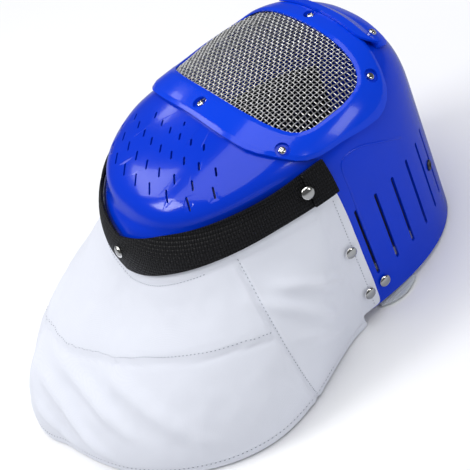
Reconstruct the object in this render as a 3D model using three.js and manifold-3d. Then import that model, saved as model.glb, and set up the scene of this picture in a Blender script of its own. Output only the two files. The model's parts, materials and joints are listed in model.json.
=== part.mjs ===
// A fencing mask for beginners: a moulded plastic shell with a screwed-on window frame, a woven wire window,
// a forehead plate, a chin band of ribbed webbing, a padded throat bib and an elastic strap behind the head.
// Millimetres. The mask lies face up: X is the wearer's left, Y points to the crown, Z points up, out of the face.
// The shell is worked out in its own frame, whose z = 0 is the plane of the rear rim; one group tips it to rest.
import * as THREE from "three";
import { mergeVertices } from "three/addons/utils/BufferGeometryUtils.js";
import Module from "manifold-3d";

const wasm = await Module();
wasm.setup();

// ---- driving dimensions -------------------------------------------------------------------------------------
const HALF_WIDTH = 100; // shell half width
const CROWN_Y = 125; // crown above the shell's axis
const CHIN_Y = 138; // chin below the shell's axis
const SECTION_POWER = 2.47; // how square the tube's section is
const DOME_POWER = 2.96; // how square the front is in profile
const TUBE_Z = 103; // where the straight tube ends and the face begins to close
const TUBE_LEAN = 0.13; // that line leans back toward the chin
const FACE_DEPTH = 79; // from that line to the middle of the face
const CHIN_SWELL = 0.1; // share by which the chin dome swells out above its rim
const RIM_TUCK = 0.036; // share by which the chin rim draws in under the dome
const WALL = 2.5; // plastic wall
const GAP = 0.35; // clearance between touching pieces

const SIDE_EDGE_Y = -15; // lower edge of the side panels
const REST_SLOPE = 0.06; // the hem lies this much lower per millimetre than the rear rim's plane
const TILT = Math.atan(REST_SLOPE);

const WINDOW_MID_Y = 27;
const BEZEL_TOP = 4.8; // height of the window frame above the shell
const MESH_THICK = 1.2;
const SEAT = 0.8; // clearance under pieces that lie on the curved shell
const RECESS_R = 5.6; // round recess round each screw
const SCREW_R = 3.1;
const SHANK_R = 1.5;

const SLOT_LENGTH = 67; // long louvre slots of the side panels
const SLOT_WIDTH = 3;
const SLOT_MID_Z = 59.5;
const SLIT_WIDTH = 1.7; // small vent slits of the chin

const BIB_THICK = 3;
const WEB_THICK = 1.8;
const BIB_EDGE = 1.6; // the bib is pressed flat to this between shell and webbing
const WEB_FOLD = 20; // length of the doubled ends of the webbing
const RIVET_R = 5;
const STRAP_WIDTH = 38;
const STRAP_THICK = 1.5;
const STRAP_LOW_Y = 2;
const STRAP_BULGE = 7; // the strap's fold shows this far outside the shell's rear rim

// Half of the window's inner edge and of the frame's outer edge, from the bottom middle round to the top middle.
const WINDOW_OUTLINE = [
  { inX: 0, inY: -16, outX: 0, outY: -38 },
  { inX: 22, inY: -16, outX: 22, outY: -38.5 },
  { inX: 43, inY: -15, outX: 45, outY: -38 },
  { inX: 64, inY: -11, outX: 68, outY: -34 },
  { inX: 77, inY: -3, outX: 84.5, outY: -20.5 },
  { inX: 82, inY: 9, outX: 91.8, outY: -3 },
  { inX: 83, inY: 24, outX: 93.5, outY: 21 },
  { inX: 82, inY: 41, outX: 93, outY: 44 },
  { inX: 77, inY: 57, outX: 88.5, outY: 64 },
  { inX: 66, inY: 66, outX: 78, outY: 78 },
  { inX: 46, inY: 70, outX: 54, outY: 87 },
  { inX: 23, inY: 71.5, outX: 27, outY: 90 },
  { inX: 0, inY: 72, outX: 0, outY: 91 },
];

// Window screws: place in the face's plan.
const SCREWS = [
  { name: "screw_bottom", x: 0, y: -27.5 },
  { name: "screw_low_left", x: 81, y: -17 },
  { name: "screw_low_right", x: -81, y: -17 },
  { name: "screw_high_left", x: 75.5, y: 70 },
  { name: "screw_high_right", x: -75.5, y: 70 },
  { name: "screw_top", x: 0, y: 81.5 },
];
const CROWN_SCREW = { x: 43, y: 101 };

// Vent slits of the chin: rows that sag to the middle. first is 0 for a row with a slit in the middle.
const VENT_ROWS = [
  { y: -46, pitch: 11.5, first: 0, each: 0, length: 4.5 },
  { y: -56, pitch: 14, first: 0.5, each: 3, length: 7 },
  { y: -71, pitch: 14.7, first: 0, each: 4, length: 8 },
  { y: -86, pitch: 17, first: 0, each: 4, length: 9.5 },
  { y: -99, pitch: 19, first: 0, each: 3, length: 11.5 },
];
const VENT_RISE = 0.0032; // a row rises by this times x squared
const VENT_LEAN = 0.9; // the slits all lean to the wearer's right as they rise

// The webbing's two edges round the chin: z of the lower and upper edge against the distance from the middle.
const WEB_EDGES = [
  { x: 0, low: 98.5, high: 126.5 },
  { x: 25, low: 105, high: 132.5 },
  { x: 50, low: 112, high: 138.5 },
  { x: 72, low: 117, high: 142.5 },
  { x: 90, low: 120.5, high: 146 },
  { x: 101, low: 122.5, high: 148 },
];

// Half of the bib's hem in plan, from the middle of the front to the rear corner of the shell.
const HEM = [
  { t: 0.0, x: 0, y: -246 },
  { t: 0.12, x: 30, y: -237 },
  { t: 0.24, x: 62, y: -222 },
  { t: 0.36, x: 96, y: -194 },
  { t: 0.45, x: 119, y: -163 },
  { t: 0.53, x: 131, y: -128 },
  { t: 0.6, x: 128, y: -96 },
  { t: 0.68, x: 119, y: -70 },
  { t: 0.76, x: 111, y: -50 },
  { t: 0.86, x: 105, y: -32 },
  { t: 1.0, x: 102.5, y: -15.5 },
];

const HEM_SWING = 38; // the soft bib hangs this much further out on the wearer's right
const SWING_END = 0.76;

// ---- the shell's surface ------------------------------------------------------------------------------------
const spread = (y) => (y > 0 ? CROWN_Y : CHIN_Y);
const signedPower = (v, p) => Math.sign(v) * Math.abs(v) ** p;

// How far round the section a place in plan lies: 1 on the tube's wall.
function reach(x, y) {
  const sum = Math.abs(x / HALF_WIDTH) ** SECTION_POWER + Math.abs(y / spread(y)) ** SECTION_POWER;
  return sum ** (1 / SECTION_POWER);
}

// The section's growth at a place: the chin dome swells out above its rim.
function swell(y, z) {
  const chin = THREE.MathUtils.smoothstep(-y, 0, 55);
  const above = CHIN_SWELL * THREE.MathUtils.smoothstep(z, 138, 164);
  const below = RIM_TUCK * (1 - THREE.MathUtils.smoothstep(z, 138, 160));
  return 1 + chin * (above - below);
}

// Below 0 inside the shell's outer surface, above 0 outside it.
function fieldAt(x, y, z) {
  const across = reach(x, y) / swell(y, z);
  const forward = Math.max(0, (z - TUBE_Z - TUBE_LEAN * y) / FACE_DEPTH);
  return (across ** DOME_POWER + forward ** DOME_POWER) ** (1 / DOME_POWER) - 1;
}

function outward(p) {
  const h = 0.02;
  const n = new THREE.Vector3(
    fieldAt(p.x + h, p.y, p.z) - fieldAt(p.x - h, p.y, p.z),
    fieldAt(p.x, p.y + h, p.z) - fieldAt(p.x, p.y - h, p.z),
    fieldAt(p.x, p.y, p.z + h) - fieldAt(p.x, p.y, p.z - h),
  );
  return n.normalize();
}

const lift = (p, w) => p.clone().addScaledVector(outward(p), w);

// Point of the face above a place in plan.
function faceAt(x, y) {
  let z = TUBE_Z + FACE_DEPTH;
  for (let i = 0; i < 8; i++) {
    const r = Math.min(0.999, reach(x, y) / swell(y, z));
    z = TUBE_Z + TUBE_LEAN * y + FACE_DEPTH * (1 - r ** DOME_POWER) ** (1 / DOME_POWER);
  }
  return new THREE.Vector3(x, y, z);
}

// Point of the wall at an angle round the axis (0 = wearer's left, 90 = crown) and a height.
function wallAt(degrees, z) {
  const a = THREE.MathUtils.degToRad(degrees);
  const cx = signedPower(Math.cos(a), 2 / SECTION_POWER) * HALF_WIDTH;
  const cy = signedPower(Math.sin(a), 2 / SECTION_POWER) * spread(Math.sin(a));
  let r = 1;
  for (let i = 0; i < 14; i++) {
    const q = Math.max(0, (z - TUBE_Z - TUBE_LEAN * cy * r) / FACE_DEPTH);
    r = (1 - Math.min(0.999, q) ** DOME_POWER) ** (1 / DOME_POWER) * swell(cy * r, z);
  }
  return new THREE.Vector3(cx * r, cy * r, z);
}

// The angle at which the wall has a given y, on the wearer's left.
function angleOfY(y, z) {
  let low = -90;
  let high = 90;
  for (let i = 0; i < 40; i++) {
    const mid = (low + high) / 2;
    if (wallAt(mid, z).y < y) low = mid;
    else high = mid;
  }
  return (low + high) / 2;
}

const sideAt = (y, z) => wallAt(angleOfY(y, z), z);

// ---- solids -------------------------------------------------------------------------------------------------
function geometryOf(points, triangles) {
  const g = new THREE.BufferGeometry();
  g.setAttribute("position", new THREE.Float32BufferAttribute(points.flatMap((p) => [p.x, p.y, p.z]), 3));
  g.setIndex(triangles);
  return g;
}

function solidOf(geometry) {
  const g = geometry.clone();
  g.deleteAttribute("normal");
  g.deleteAttribute("uv");
  const merged = mergeVertices(g, 1e-4);
  const index = merged.index.array;
  const kept = [];
  for (let i = 0; i < index.length; i += 3) {
    const [a, b, c] = [index[i], index[i + 1], index[i + 2]];
    if (a !== b && b !== c && a !== c) kept.push(a, b, c);
  }
  const build = (tris) =>
    new wasm.Manifold(
      new wasm.Mesh({
        numProp: 3,
        vertProperties: merged.attributes.position.array,
        triVerts: new Uint32Array(tris),
      }),
    );
  const made = build(kept);
  if (made.volume() > 0) return made;
  const turned = [];
  for (let i = 0; i < kept.length; i += 3) turned.push(kept[i], kept[i + 2], kept[i + 1]);
  return build(turned);
}

function geometryFrom(solid) {
  const m = solid.getMesh();
  const points = [];
  for (let i = 0; i < m.numVert; i++) {
    const k = i * m.numProp;
    points.push(new THREE.Vector3(m.vertProperties[k], m.vertProperties[k + 1], m.vertProperties[k + 2]));
  }
  return geometryOf(points, Array.from(m.triVerts));
}

const cut = (solid, cutters) => (cutters.length ? solid.subtract(wasm.Manifold.union(cutters)) : solid);

// A closed solid from rows of points: each row is one closed section, and the ends are capped, or joined if looped.
function loft(rows, looped) {
  const n = rows[0].length;
  const tris = [];
  const last = looped ? rows.length : rows.length - 1;
  for (let i = 0; i < last; i++) {
    const j = (i + 1) % rows.length;
    for (let k = 0; k < n; k++) {
      const l = (k + 1) % n;
      tris.push(i * n + k, i * n + l, j * n + l, i * n + k, j * n + l, j * n + k);
    }
  }
  const points = rows.flat();
  if (!looped) {
    for (const row of [0, rows.length - 1]) {
      const flat = rows[row].map((p) => p.clone());
      const mid = flat.reduce((s, p) => s.add(p), new THREE.Vector3()).multiplyScalar(1 / n);
      const m = points.push(mid) - 1;
      for (let k = 0; k < n; k++) {
        const l = (k + 1) % n;
        if (row === 0) tris.push(m, l, k);
        else tris.push(m, row * n + k, row * n + l);
      }
    }
  }
  return solidOf(geometryOf(points, tris));
}

// A curved plate: a grid of points on the outer face and its twin on the inner face, closed round the edge.
function plate(outer, inner) {
  const rows = outer.length;
  const cols = outer[0].length;
  const points = [...outer.flat(), ...inner.flat()];
  const shift = rows * cols;
  const at = (i, j) => i * cols + j;
  const tris = [];
  for (let i = 0; i < rows - 1; i++) {
    for (let j = 0; j < cols - 1; j++) {
      const [a, b, c, d] = [at(i, j), at(i + 1, j), at(i + 1, j + 1), at(i, j + 1)];
      tris.push(a, b, c, a, c, d);
      tris.push(a + shift, c + shift, b + shift, a + shift, d + shift, c + shift);
    }
  }
  const edge = (a, b) => tris.push(a, a + shift, b + shift, a, b + shift, b);
  for (let j = 0; j < cols - 1; j++) {
    edge(at(0, j + 1), at(0, j));
    edge(at(rows - 1, j), at(rows - 1, j + 1));
  }
  for (let i = 0; i < rows - 1; i++) {
    edge(at(i, 0), at(i + 1, 0));
    edge(at(i + 1, cols - 1), at(i, cols - 1));
  }
  return solidOf(geometryOf(points, tris));
}

// A turned piece standing on a point of the surface, its axis along the surface's outward direction.
function turned(profile, at, sides) {
  const g = new THREE.LatheGeometry(profile.map((p) => new THREE.Vector2(p[0], p[1])), sides);
  g.applyQuaternion(new THREE.Quaternion().setFromUnitVectors(new THREE.Vector3(0, 1, 0), outward(at)));
  g.translate(at.x, at.y, at.z);
  return solidOf(g);
}

const rod = (r, low, high, at, sides) => turned([[0, low], [r, low], [r, high], [0, high]], at, sides);

// A round-ended cutter, long along a tangent direction, that goes through the wall at a point.
function slotCutter(at, along, length, width, depth, rounding) {
  const normal = outward(at);
  const run = along.clone().addScaledVector(normal, -along.dot(normal)).normalize();
  const over = new THREE.Vector3().crossVectors(normal, run);
  const half = length / 2 - width / 2;
  const shape = new THREE.Shape();
  shape.moveTo(-half, -width / 2);
  shape.lineTo(half, -width / 2);
  shape.absarc(half, 0, width / 2, -Math.PI / 2, Math.PI / 2, false);
  shape.lineTo(-half, width / 2);
  shape.absarc(-half, 0, width / 2, Math.PI / 2, (3 * Math.PI) / 2, false);
  const g = new THREE.ExtrudeGeometry(shape, { depth, bevelEnabled: false, curveSegments: rounding });
  g.translate(0, 0, -depth / 2);
  g.applyMatrix4(new THREE.Matrix4().makeBasis(run, over, normal));
  g.translate(at.x, at.y, at.z);
  return solidOf(g);
}

// ---- the window's outline -----------------------------------------------------------------------------------
function outlineCurve(xKey, yKey) {
  const half = WINDOW_OUTLINE.map((p) => new THREE.Vector3(p[xKey], p[yKey], 0));
  const other = half.slice(1, -1).reverse().map((p) => new THREE.Vector3(-p.x, p.y, 0));
  return new THREE.CatmullRomCurve3([...half, ...other], true, "catmullrom", 0.5);
}
const innerCurve = outlineCurve("inX", "inY");
const outerCurve = outlineCurve("outX", "outY");
const RING = 60;

// Plan position a share of the way from the window's edge (0) to the frame's outer edge (1).
function ringPlan(step, share) {
  const a = innerCurve.getPoint(step / RING);
  const b = outerCurve.getPoint(step / RING);
  return a.lerp(b, share);
}
const ringAt = (step, share, w) => {
  const q = ringPlan(step, share);
  return lift(faceAt(q.x, q.y), w);
};

// ---- helmet shell -------------------------------------------------------------------------------------------
function buildShell() {
  const around = 56;
  const heights = [0, 40];
  const domeSteps = 10;
  const rows = [];
  for (let j = 0; j < around; j++) {
    const degrees = (j * 360) / around;
    const a = THREE.MathUtils.degToRad(degrees);
    const cx = signedPower(Math.cos(a), 2 / SECTION_POWER) * HALF_WIDTH;
    const cy = signedPower(Math.sin(a), 2 / SECTION_POWER) * spread(Math.sin(a));
    const line = heights.map((z) => new THREE.Vector3(cx, cy, z));
    for (let k = 0; k < domeSteps; k++) {
      const s = THREE.MathUtils.degToRad((k / domeSteps) * 90);
      const bare = Math.cos(s) ** (2 / DOME_POWER);
      let r = bare;
      let z = 0;
      for (let i = 0; i < 8; i++) {
        z = TUBE_Z + TUBE_LEAN * cy * r + FACE_DEPTH * Math.sin(s) ** (2 / DOME_POWER);
        r = bare * swell(cy * r, z);
      }
      line.push(new THREE.Vector3(cx * r, cy * r, z));
    }
    const inside = line.map((p) => lift(p, -WALL));
    inside[0].z = 0;
    rows.push({ line, inside });
  }
  const n = rows[0].line.length;
  const points = rows.flatMap((r) => [...r.line, ...r.inside]);
  const top = points.push(new THREE.Vector3(0, 0, TUBE_Z + FACE_DEPTH)) - 1;
  const under = points.push(new THREE.Vector3(0, 0, TUBE_Z + FACE_DEPTH - WALL)) - 1;
  const tris = [];
  for (let j = 0; j < around; j++) {
    const a = j * 2 * n;
    const b = ((j + 1) % around) * 2 * n;
    for (let k = 0; k < n - 1; k++) {
      tris.push(a + k, b + k, b + k + 1, a + k, b + k + 1, a + k + 1);
      tris.push(a + n + k, b + n + k + 1, b + n + k, a + n + k, a + n + k + 1, b + n + k + 1);
    }
    tris.push(a, a + n, b + n, a, b + n, b);
    tris.push(a + n - 1, b + n - 1, top);
    tris.push(a + 2 * n - 1, under, b + 2 * n - 1);
  }
  const body = solidOf(geometryOf(points, tris));

  const cutters = [];
  // Window opening, just inside the frame's inner edge line.
  const opening = new THREE.Shape();
  for (let i = 0; i < RING; i++) {
    const q = ringPlan(i, 0.08);
    if (i === 0) opening.moveTo(q.x, q.y);
    else opening.lineTo(q.x, q.y);
  }
  const hole = new THREE.ExtrudeGeometry(opening, { depth: 150, bevelEnabled: false });
  hole.translate(0, 0, 95);
  cutters.push(solidOf(hole));
  // Everything below the chin rim and below the side panels' lower edge, seen from the side.
  const below = new THREE.Shape();
  const rimUp = 124.5;
  const side = [
    [60, -400],
    [60, -150],
    [103, -150],
    [109, -142],
    [116, -138],
    [121, -128],
    [rimUp, -112],
    [rimUp, SIDE_EDGE_Y - 8],
    [rimUp - 3, SIDE_EDGE_Y - 2.5],
    [rimUp - 9, SIDE_EDGE_Y],
    [12, SIDE_EDGE_Y],
    [4, SIDE_EDGE_Y + 3],
    [0, SIDE_EDGE_Y + 10],
    [-20, SIDE_EDGE_Y + 10],
    [-20, -400],
  ];
  side.forEach(([z, y], i) => (i === 0 ? below.moveTo(z, y) : below.lineTo(z, y)));
  const trim = new THREE.ExtrudeGeometry(below, { depth: 400, bevelEnabled: false });
  trim.applyMatrix4(
    new THREE.Matrix4().makeBasis(
      new THREE.Vector3(0, 0, 1),
      new THREE.Vector3(0, 1, 0),
      new THREE.Vector3(-1, 0, 0),
    ),
  );
  trim.translate(200, 0, 0);
  cutters.push(solidOf(trim));
  // Louvre slots, six a side, front to back.
  const forward = new THREE.Vector3(0, 0, 1);
  for (const place of slotPlaces()) cutters.push(slotCutter(place, forward, SLOT_LENGTH, SLOT_WIDTH, 14, 2));
  // Vent slits of the chin.
  for (const v of ventPlaces()) {
    cutters.push(slotCutter(v.at, v.along, v.length, SLIT_WIDTH, 12, 1));
  }
  // Holes for rivets, screws and eyelets.
  for (const f of fasteners()) cutters.push(rod(f.hole, -8, 8, f.at, 8));
  return cut(body, cutters);
}

function slotPlaces() {
  const ys = [10.5, 31, 50, 69, 86, 99];
  const places = [];
  for (const y of ys) {
    const p = sideAt(y, SLOT_MID_Z);
    places.push(p, new THREE.Vector3(-p.x, p.y, p.z));
  }
  return places;
}

function ventPlaces() {
  const places = [];
  for (const row of VENT_ROWS) {
    for (let k = 0; k <= row.each; k++) {
      const x = (k + row.first) * row.pitch;
      if (row.first && k === row.each) continue;
      const at = faceAt(x, row.y + VENT_RISE * x * x);
      const along = new THREE.Vector3(-(VENT_LEAN + 0.008 * x), 1, 0);
      places.push({ at, length: row.length, along });
      if (x === 0) continue;
      const twin = faceAt(-x, row.y + VENT_RISE * x * x);
      places.push({ at: twin, length: row.length, along: new THREE.Vector3(-VENT_LEAN, 1, 0) });
    }
  }
  return places;
}

// ---- fasteners ----------------------------------------------------------------------------------------------
// base is the height above the shell at which the head or cap sits; hole is the clearance hole's radius.
function fasteners() {
  const list = [];
  for (const s of SCREWS) {
    list.push({ name: s.name, kind: "screw", at: faceAt(s.x, s.y), base: 2.5, hole: SHANK_R + GAP });
  }
  const sides = [["left", 1], ["right", -1]];
  const put = (name, kind, p, base, hole) => {
    for (const [word, sign] of sides) {
      list.push({ name: name + "_" + word, kind, at: new THREE.Vector3(p.x * sign, p.y, p.z), base, hole });
    }
  };
  const crown = faceAt(CROWN_SCREW.x, CROWN_SCREW.y);
  put("screw_crown", "screw", crown, 2.9, SHANK_R + GAP);
  const chin = wallAt(-90, 115);
  const under = SEAT + BIB_EDGE + 0.5;
  list.push({ name: "rivet_chin", kind: "rivet", at: chin, base: under + WEB_THICK + GAP, hole: 1.9 });
  put("rivet_web", "rivet", sideAt(-19, 135), under + 2 * WEB_THICK + GAP, 1.9);
  put("rivet_bib_front", "rivet", sideAt(-7, 66), SEAT + BIB_THICK - 0.2, 1.9);
  put("rivet_bib_rear", "rivet", sideAt(-5, 20), SEAT + BIB_THICK - 0.2, 1.9);
  put("rivet_strap", "rivet", sideAt(12, 17), GAP, 1.9);
  put("eyelet", "eyelet", sideAt(95, 60), GAP, 2.9);
  return list;
}

function buildScrew(f) {
  const b = f.base;
  const head = turned(
    [
      [0, -6],
      [SHANK_R, -6],
      [SHANK_R, b],
      [SCREW_R, b],
      [SCREW_R, b + 0.8],
      [SCREW_R * 0.7, b + 1.6],
      [0, b + 1.9],
    ],
    f.at,
    12,
  );
  const top = lift(f.at, b + 1.9);
  const out = outward(f.at);
  const one = new THREE.Vector3(1, 0.2, 0).addScaledVector(out, -new THREE.Vector3(1, 0.2, 0).dot(out)).normalize();
  const two = new THREE.Vector3().crossVectors(out, one);
  const slots = [[one, two], [two, one]].map(([long, across]) => {
    const g = new THREE.BoxGeometry(3.6, 0.8, 1.6);
    const third = new THREE.Vector3().crossVectors(long, across);
    g.applyMatrix4(new THREE.Matrix4().makeBasis(long, across, third));
    g.translate(top.x, top.y, top.z);
    return solidOf(g);
  });
  return cut(head, slots);
}

// Domed cap outside, shank through the layers, flat washer head inside.
function buildRivet(f) {
  const b = f.base;
  const inner = f.name.startsWith("rivet_strap") ? -(WALL + 3.1 + STRAP_THICK) : -(WALL + 1);
  return turned(
    [
      [0, inner - 1],
      [RIVET_R * 0.8, inner - 1],
      [RIVET_R * 0.8, inner],
      [1.5, inner],
      [1.5, b],
      [RIVET_R, b],
      [RIVET_R, b + 0.6],
      [RIVET_R * 0.74, b + 2.2],
      [0, b + 3],
    ],
    f.at,
    14,
  );
}

function buildEyelet(f) {
  const b = f.base;
  const inner = -(WALL + 0.8);
  return turned(
    [
      [1.9, inner - 0.7],
      [4.3, inner - 0.7],
      [4.3, inner],
      [2.5, inner],
      [2.5, b],
      [4.6, b],
      [3.8, b + 0.9],
      [1.9, b + 0.9],
      [1.9, inner - 0.7],
    ],
    f.at,
    16,
  );
}

// ---- window frame, wire window, forehead plate ----------------------------------------------------------------
function buildBezel() {
  const section = [
    [0, SEAT + MESH_THICK + GAP],
    [0, 3.6],
    [0.16, 4.6],
    [0.5, BEZEL_TOP],
    [0.84, BEZEL_TOP - 0.1],
    [1, 3.5],
    [1, SEAT],
    [0.7, SEAT],
    [0.42, SEAT],
    [0.42, SEAT + MESH_THICK + GAP],
  ];
  const rows = [];
  for (let i = 0; i < RING; i++) rows.push(section.map(([share, w]) => ringAt(i, share, w)));
  const cutters = [];
  for (const f of fasteners()) {
    if (f.kind !== "screw" || f.name.startsWith("screw_crown")) continue;
    cutters.push(rod(RECESS_R, f.base - GAP, 12, f.at, 16));
    cutters.push(rod(f.hole, -4, 12, f.at, 8));
  }
  return cut(loft(rows, true), cutters);
}

function buildMesh() {
  const rings = 5;
  const count = RING / 2;
  const sheet = (w) => {
    const grid = [];
    for (let k = 1; k <= rings; k++) {
      const row = [];
      for (let i = 0; i < count; i++) {
        const q = ringPlan(2 * i, 0.38);
        const s = Math.sin(((k / rings) * Math.PI) / 2);
        row.push(lift(faceAt(q.x * s, WINDOW_MID_Y + (q.y - WINDOW_MID_Y) * s), w));
      }
      grid.push(row);
    }
    return { grid, mid: lift(faceAt(0, WINDOW_MID_Y), w) };
  };
  const upper = sheet(SEAT + MESH_THICK);
  const lower = sheet(SEAT);
  const points = [upper.mid, ...upper.grid.flat(), lower.mid, ...lower.grid.flat()];
  const shift = 1 + rings * count;
  const at = (k, i) => 1 + k * count + (i % count);
  const tris = [];
  for (let i = 0; i < count; i++) {
    tris.push(0, at(0, i), at(0, i + 1));
    tris.push(shift, shift + at(0, i + 1), shift + at(0, i));
    for (let k = 0; k < rings - 1; k++) {
      const [a, b, c, d] = [at(k, i), at(k + 1, i), at(k + 1, i + 1), at(k, i + 1)];
      tris.push(a, b, c, a, c, d);
      tris.push(shift + a, shift + c, shift + b, shift + a, shift + d, shift + c);
    }
    const [e, f] = [at(rings - 1, i), at(rings - 1, i + 1)];
    tris.push(e, shift + e, shift + f, e, shift + f, f);
  }
  return solidOf(geometryOf(points, tris));
}

// The forehead plate laps the frame's top edge by a few millimetres and sits down on the shell behind it.
function buildCrownPlate() {
  const section = [
    { y: 86.5, low: BEZEL_TOP + GAP, high: BEZEL_TOP + 2.2 },
    { y: 92.5, low: BEZEL_TOP + GAP, high: BEZEL_TOP + 2.2 },
    { y: 96.5, low: GAP, high: BEZEL_TOP - 0.6 },
    { y: 101, low: GAP, high: 2.55 },
    { y: 106, low: GAP, high: 2.55 },
    { y: 110.5, low: GAP, high: 2.55 },
  ];
  const columns = 21;
  const halfLength = 56;
  const rows = [];
  for (let j = 0; j < columns; j++) {
    const s = (j / (columns - 1)) * 2 - 1;
    const x = halfLength * Math.sin((s * Math.PI) / 2);
    // Round ends: the plate narrows toward each tip.
    const end = Math.max(0, (Math.abs(x) - 44) / (halfLength - 44));
    const keep = Math.max(0.2, Math.sqrt(Math.max(0, 1 - end * end)));
    const midY = 98.5;
    const place = (row, w) => lift(faceAt(x, midY + (row.y - midY) * keep - 0.0012 * x * x), w);
    const up = section.map((row) => place(row, row.high));
    const down = section.map((row) => place(row, row.low)).reverse();
    rows.push([...up, ...down]);
  }
  const cutters = fasteners()
    .filter((f) => f.name.startsWith("screw_crown"))
    .map((f) => rod(f.hole, -4, 12, f.at, 8));
  return cut(loft(rows, false), cutters);
}

// ---- webbing, bib, strap --------------------------------------------------------------------------------------
// Height of a webbing edge at an angle round the chin.
function webHeight(degrees, key) {
  const x = Math.abs(wallAt(degrees, 120).x);
  let i = 1;
  while (i < WEB_EDGES.length - 1 && WEB_EDGES[i].x < x) i++;
  const a = WEB_EDGES[i - 1];
  const b = WEB_EDGES[i];
  return a[key] + ((b[key] - a[key]) * (x - a.x)) / (b.x - a.x);
}

function buildWebbing() {
  const under = SEAT + BIB_EDGE + 0.5;
  const endAngle = angleOfY(2, 136);
  const foldAngle = angleOfY(2 - WEB_FOLD, 136);
  const angles = [];
  const plain = 17;
  for (let j = 0; j <= plain; j++) angles.push(-90 + ((foldAngle + 90) * j) / plain);
  angles.push(foldAngle + 0.3);
  for (let j = 1; j <= 3; j++) angles.push(foldAngle + 0.3 + ((endAngle - foldAngle - 0.3) * j) / 3);
  const all = [...angles.slice(1).reverse().map((a) => -180 - a), ...angles];
  const rows = all.map((degrees) => {
    const near = degrees < -90 ? -180 - degrees : degrees;
    const low = webHeight(near, "low");
    const high = webHeight(near, "high");
    const top = under + (near > foldAngle + 0.1 ? 2 * WEB_THICK : WEB_THICK);
    const shares = [0, 0.33, 0.67, 1];
    const level = (share, w) => lift(wallAt(degrees, low + (high - low) * share), w);
    return [...shares.map((s) => level(s, top)), ...shares.map((s) => level(s, under)).reverse()];
  });
  const cutters = fasteners()
    .filter((f) => f.name === "rivet_chin" || f.name.startsWith("rivet_web"))
    .map((f) => rod(f.hole, -4, 12, f.at, 8));
  return cut(loft(rows, false), cutters);
}

function hemAt(t, side) {
  let i = 1;
  while (i < HEM.length - 1 && HEM[i].t < t) i++;
  const [p0, p1, p2, p3] = [HEM[Math.max(0, i - 2)], HEM[i - 1], HEM[i], HEM[Math.min(HEM.length - 1, i + 1)]];
  const s = (t - p1.t) / (p2.t - p1.t);
  const ease = (a, b, c, d) => {
    const m1 = ((c - a) / Math.max(1e-6, p2.t - p0.t)) * (p2.t - p1.t);
    const m2 = ((d - b) / Math.max(1e-6, p3.t - p1.t)) * (p2.t - p1.t);
    const [s2, s3] = [s * s, s * s * s];
    return (2 * s3 - 3 * s2 + 1) * b + (s3 - 2 * s2 + s) * m1 + (3 * s2 - 2 * s3) * c + (s3 - s2) * m2;
  };
  const mirrored = i === 1 ? -p2.x : p0.x;
  const x = ease(mirrored, p1.x, p2.x, p3.x);
  const swing = side < 0 && t < SWING_END ? HEM_SWING * Math.sin((Math.PI * t) / SWING_END) : 0;
  const y = ease(i === 1 ? 2 * p1.y - p2.y : p0.y, p1.y, p2.y, p3.y) - swing;
  return new THREE.Vector3(x, y, -REST_SLOPE * (CROWN_Y - y));
}

// Share of the half bib taken by the chin; the rest runs along the side panel's lower edge.
const CORNER_T = 0.62;
const BIB_ROWS = 7;

// One line of the bib's inner face, from its upper edge on the shell down to the hem.
function bibLine(t, w, side) {
  const line = [];
  let edge;
  let leave;
  if (t <= CORNER_T) {
    const cornerAngle = angleOfY(SIDE_EDGE_Y, 122);
    const degrees = -90 + ((cornerAngle + 90) * t) / CORNER_T;
    const low = webHeight(degrees, "low");
    const high = webHeight(degrees, "high");
    const pressed = Math.min(w, SEAT + BIB_EDGE);
    const onWall = (share, lifted) => lift(wallAt(degrees, low + (high - 4 - low) * share), lifted);
    line.push(onWall(1, pressed), onWall(0.48, pressed), onWall(-0.04, pressed));
    edge = onWall(-0.3, w);
    const out = outward(wallAt(degrees, low));
    out.z = 0;
    const k = THREE.MathUtils.smoothstep(t, CORNER_T * 0.3, CORNER_T);
    leave = out.normalize().multiplyScalar(0.5 - 0.1 * k).add(new THREE.Vector3(0, -0.4 * k, -0.8));
  } else {
    const s = (t - CORNER_T) / (1 - CORNER_T);
    const z = 122 - 120.5 * s;
    const upperZ = z + 24 * (1 - s) ** 3;
    const top = 3 - 4 * (1 - s) ** 8;
    const lifted = Math.min(w, SEAT + BIB_EDGE);
    const onWall = (share) => lift(sideAt(SIDE_EDGE_Y + (top - SIDE_EDGE_Y) * share, z + (upperZ - z) * share), lifted);
    line.push(onWall(1), onWall(0.65), onWall(0.28));
    edge = lift(sideAt(SIDE_EDGE_Y, z), w);
    leave = new THREE.Vector3(0.4, -0.4 - 0.4 * s, -0.8 * (1 - s));
  }
  line.push(edge);
  const hem = hemAt(t, side);
  const length = edge.distanceTo(hem);
  const out = hemOut(t, side);
  hem.addScaledVector(out, w - SEAT - BIB_THICK);
  const bend1 = edge.clone().addScaledVector(leave.normalize(), length * 0.3);
  const rise = new THREE.Vector3(0, 0, 1).addScaledVector(out, 0.3);
  const bend2 = hem.clone().addScaledVector(rise, length * 0.26);
  const curve = new THREE.CubicBezierCurve3(edge, bend1, bend2, hem);
  for (let k = 1; k <= BIB_ROWS; k++) line.push(curve.getPoint(k / BIB_ROWS));
  return line;
}

function hemOut(t, side) {
  const a = hemAt(Math.max(0, t - 0.01), side);
  const b = hemAt(Math.min(1, t + 0.01), side);
  return new THREE.Vector3(-(b.y - a.y), b.x - a.x, 0).normalize().multiplyScalar(-1);
}

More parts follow.
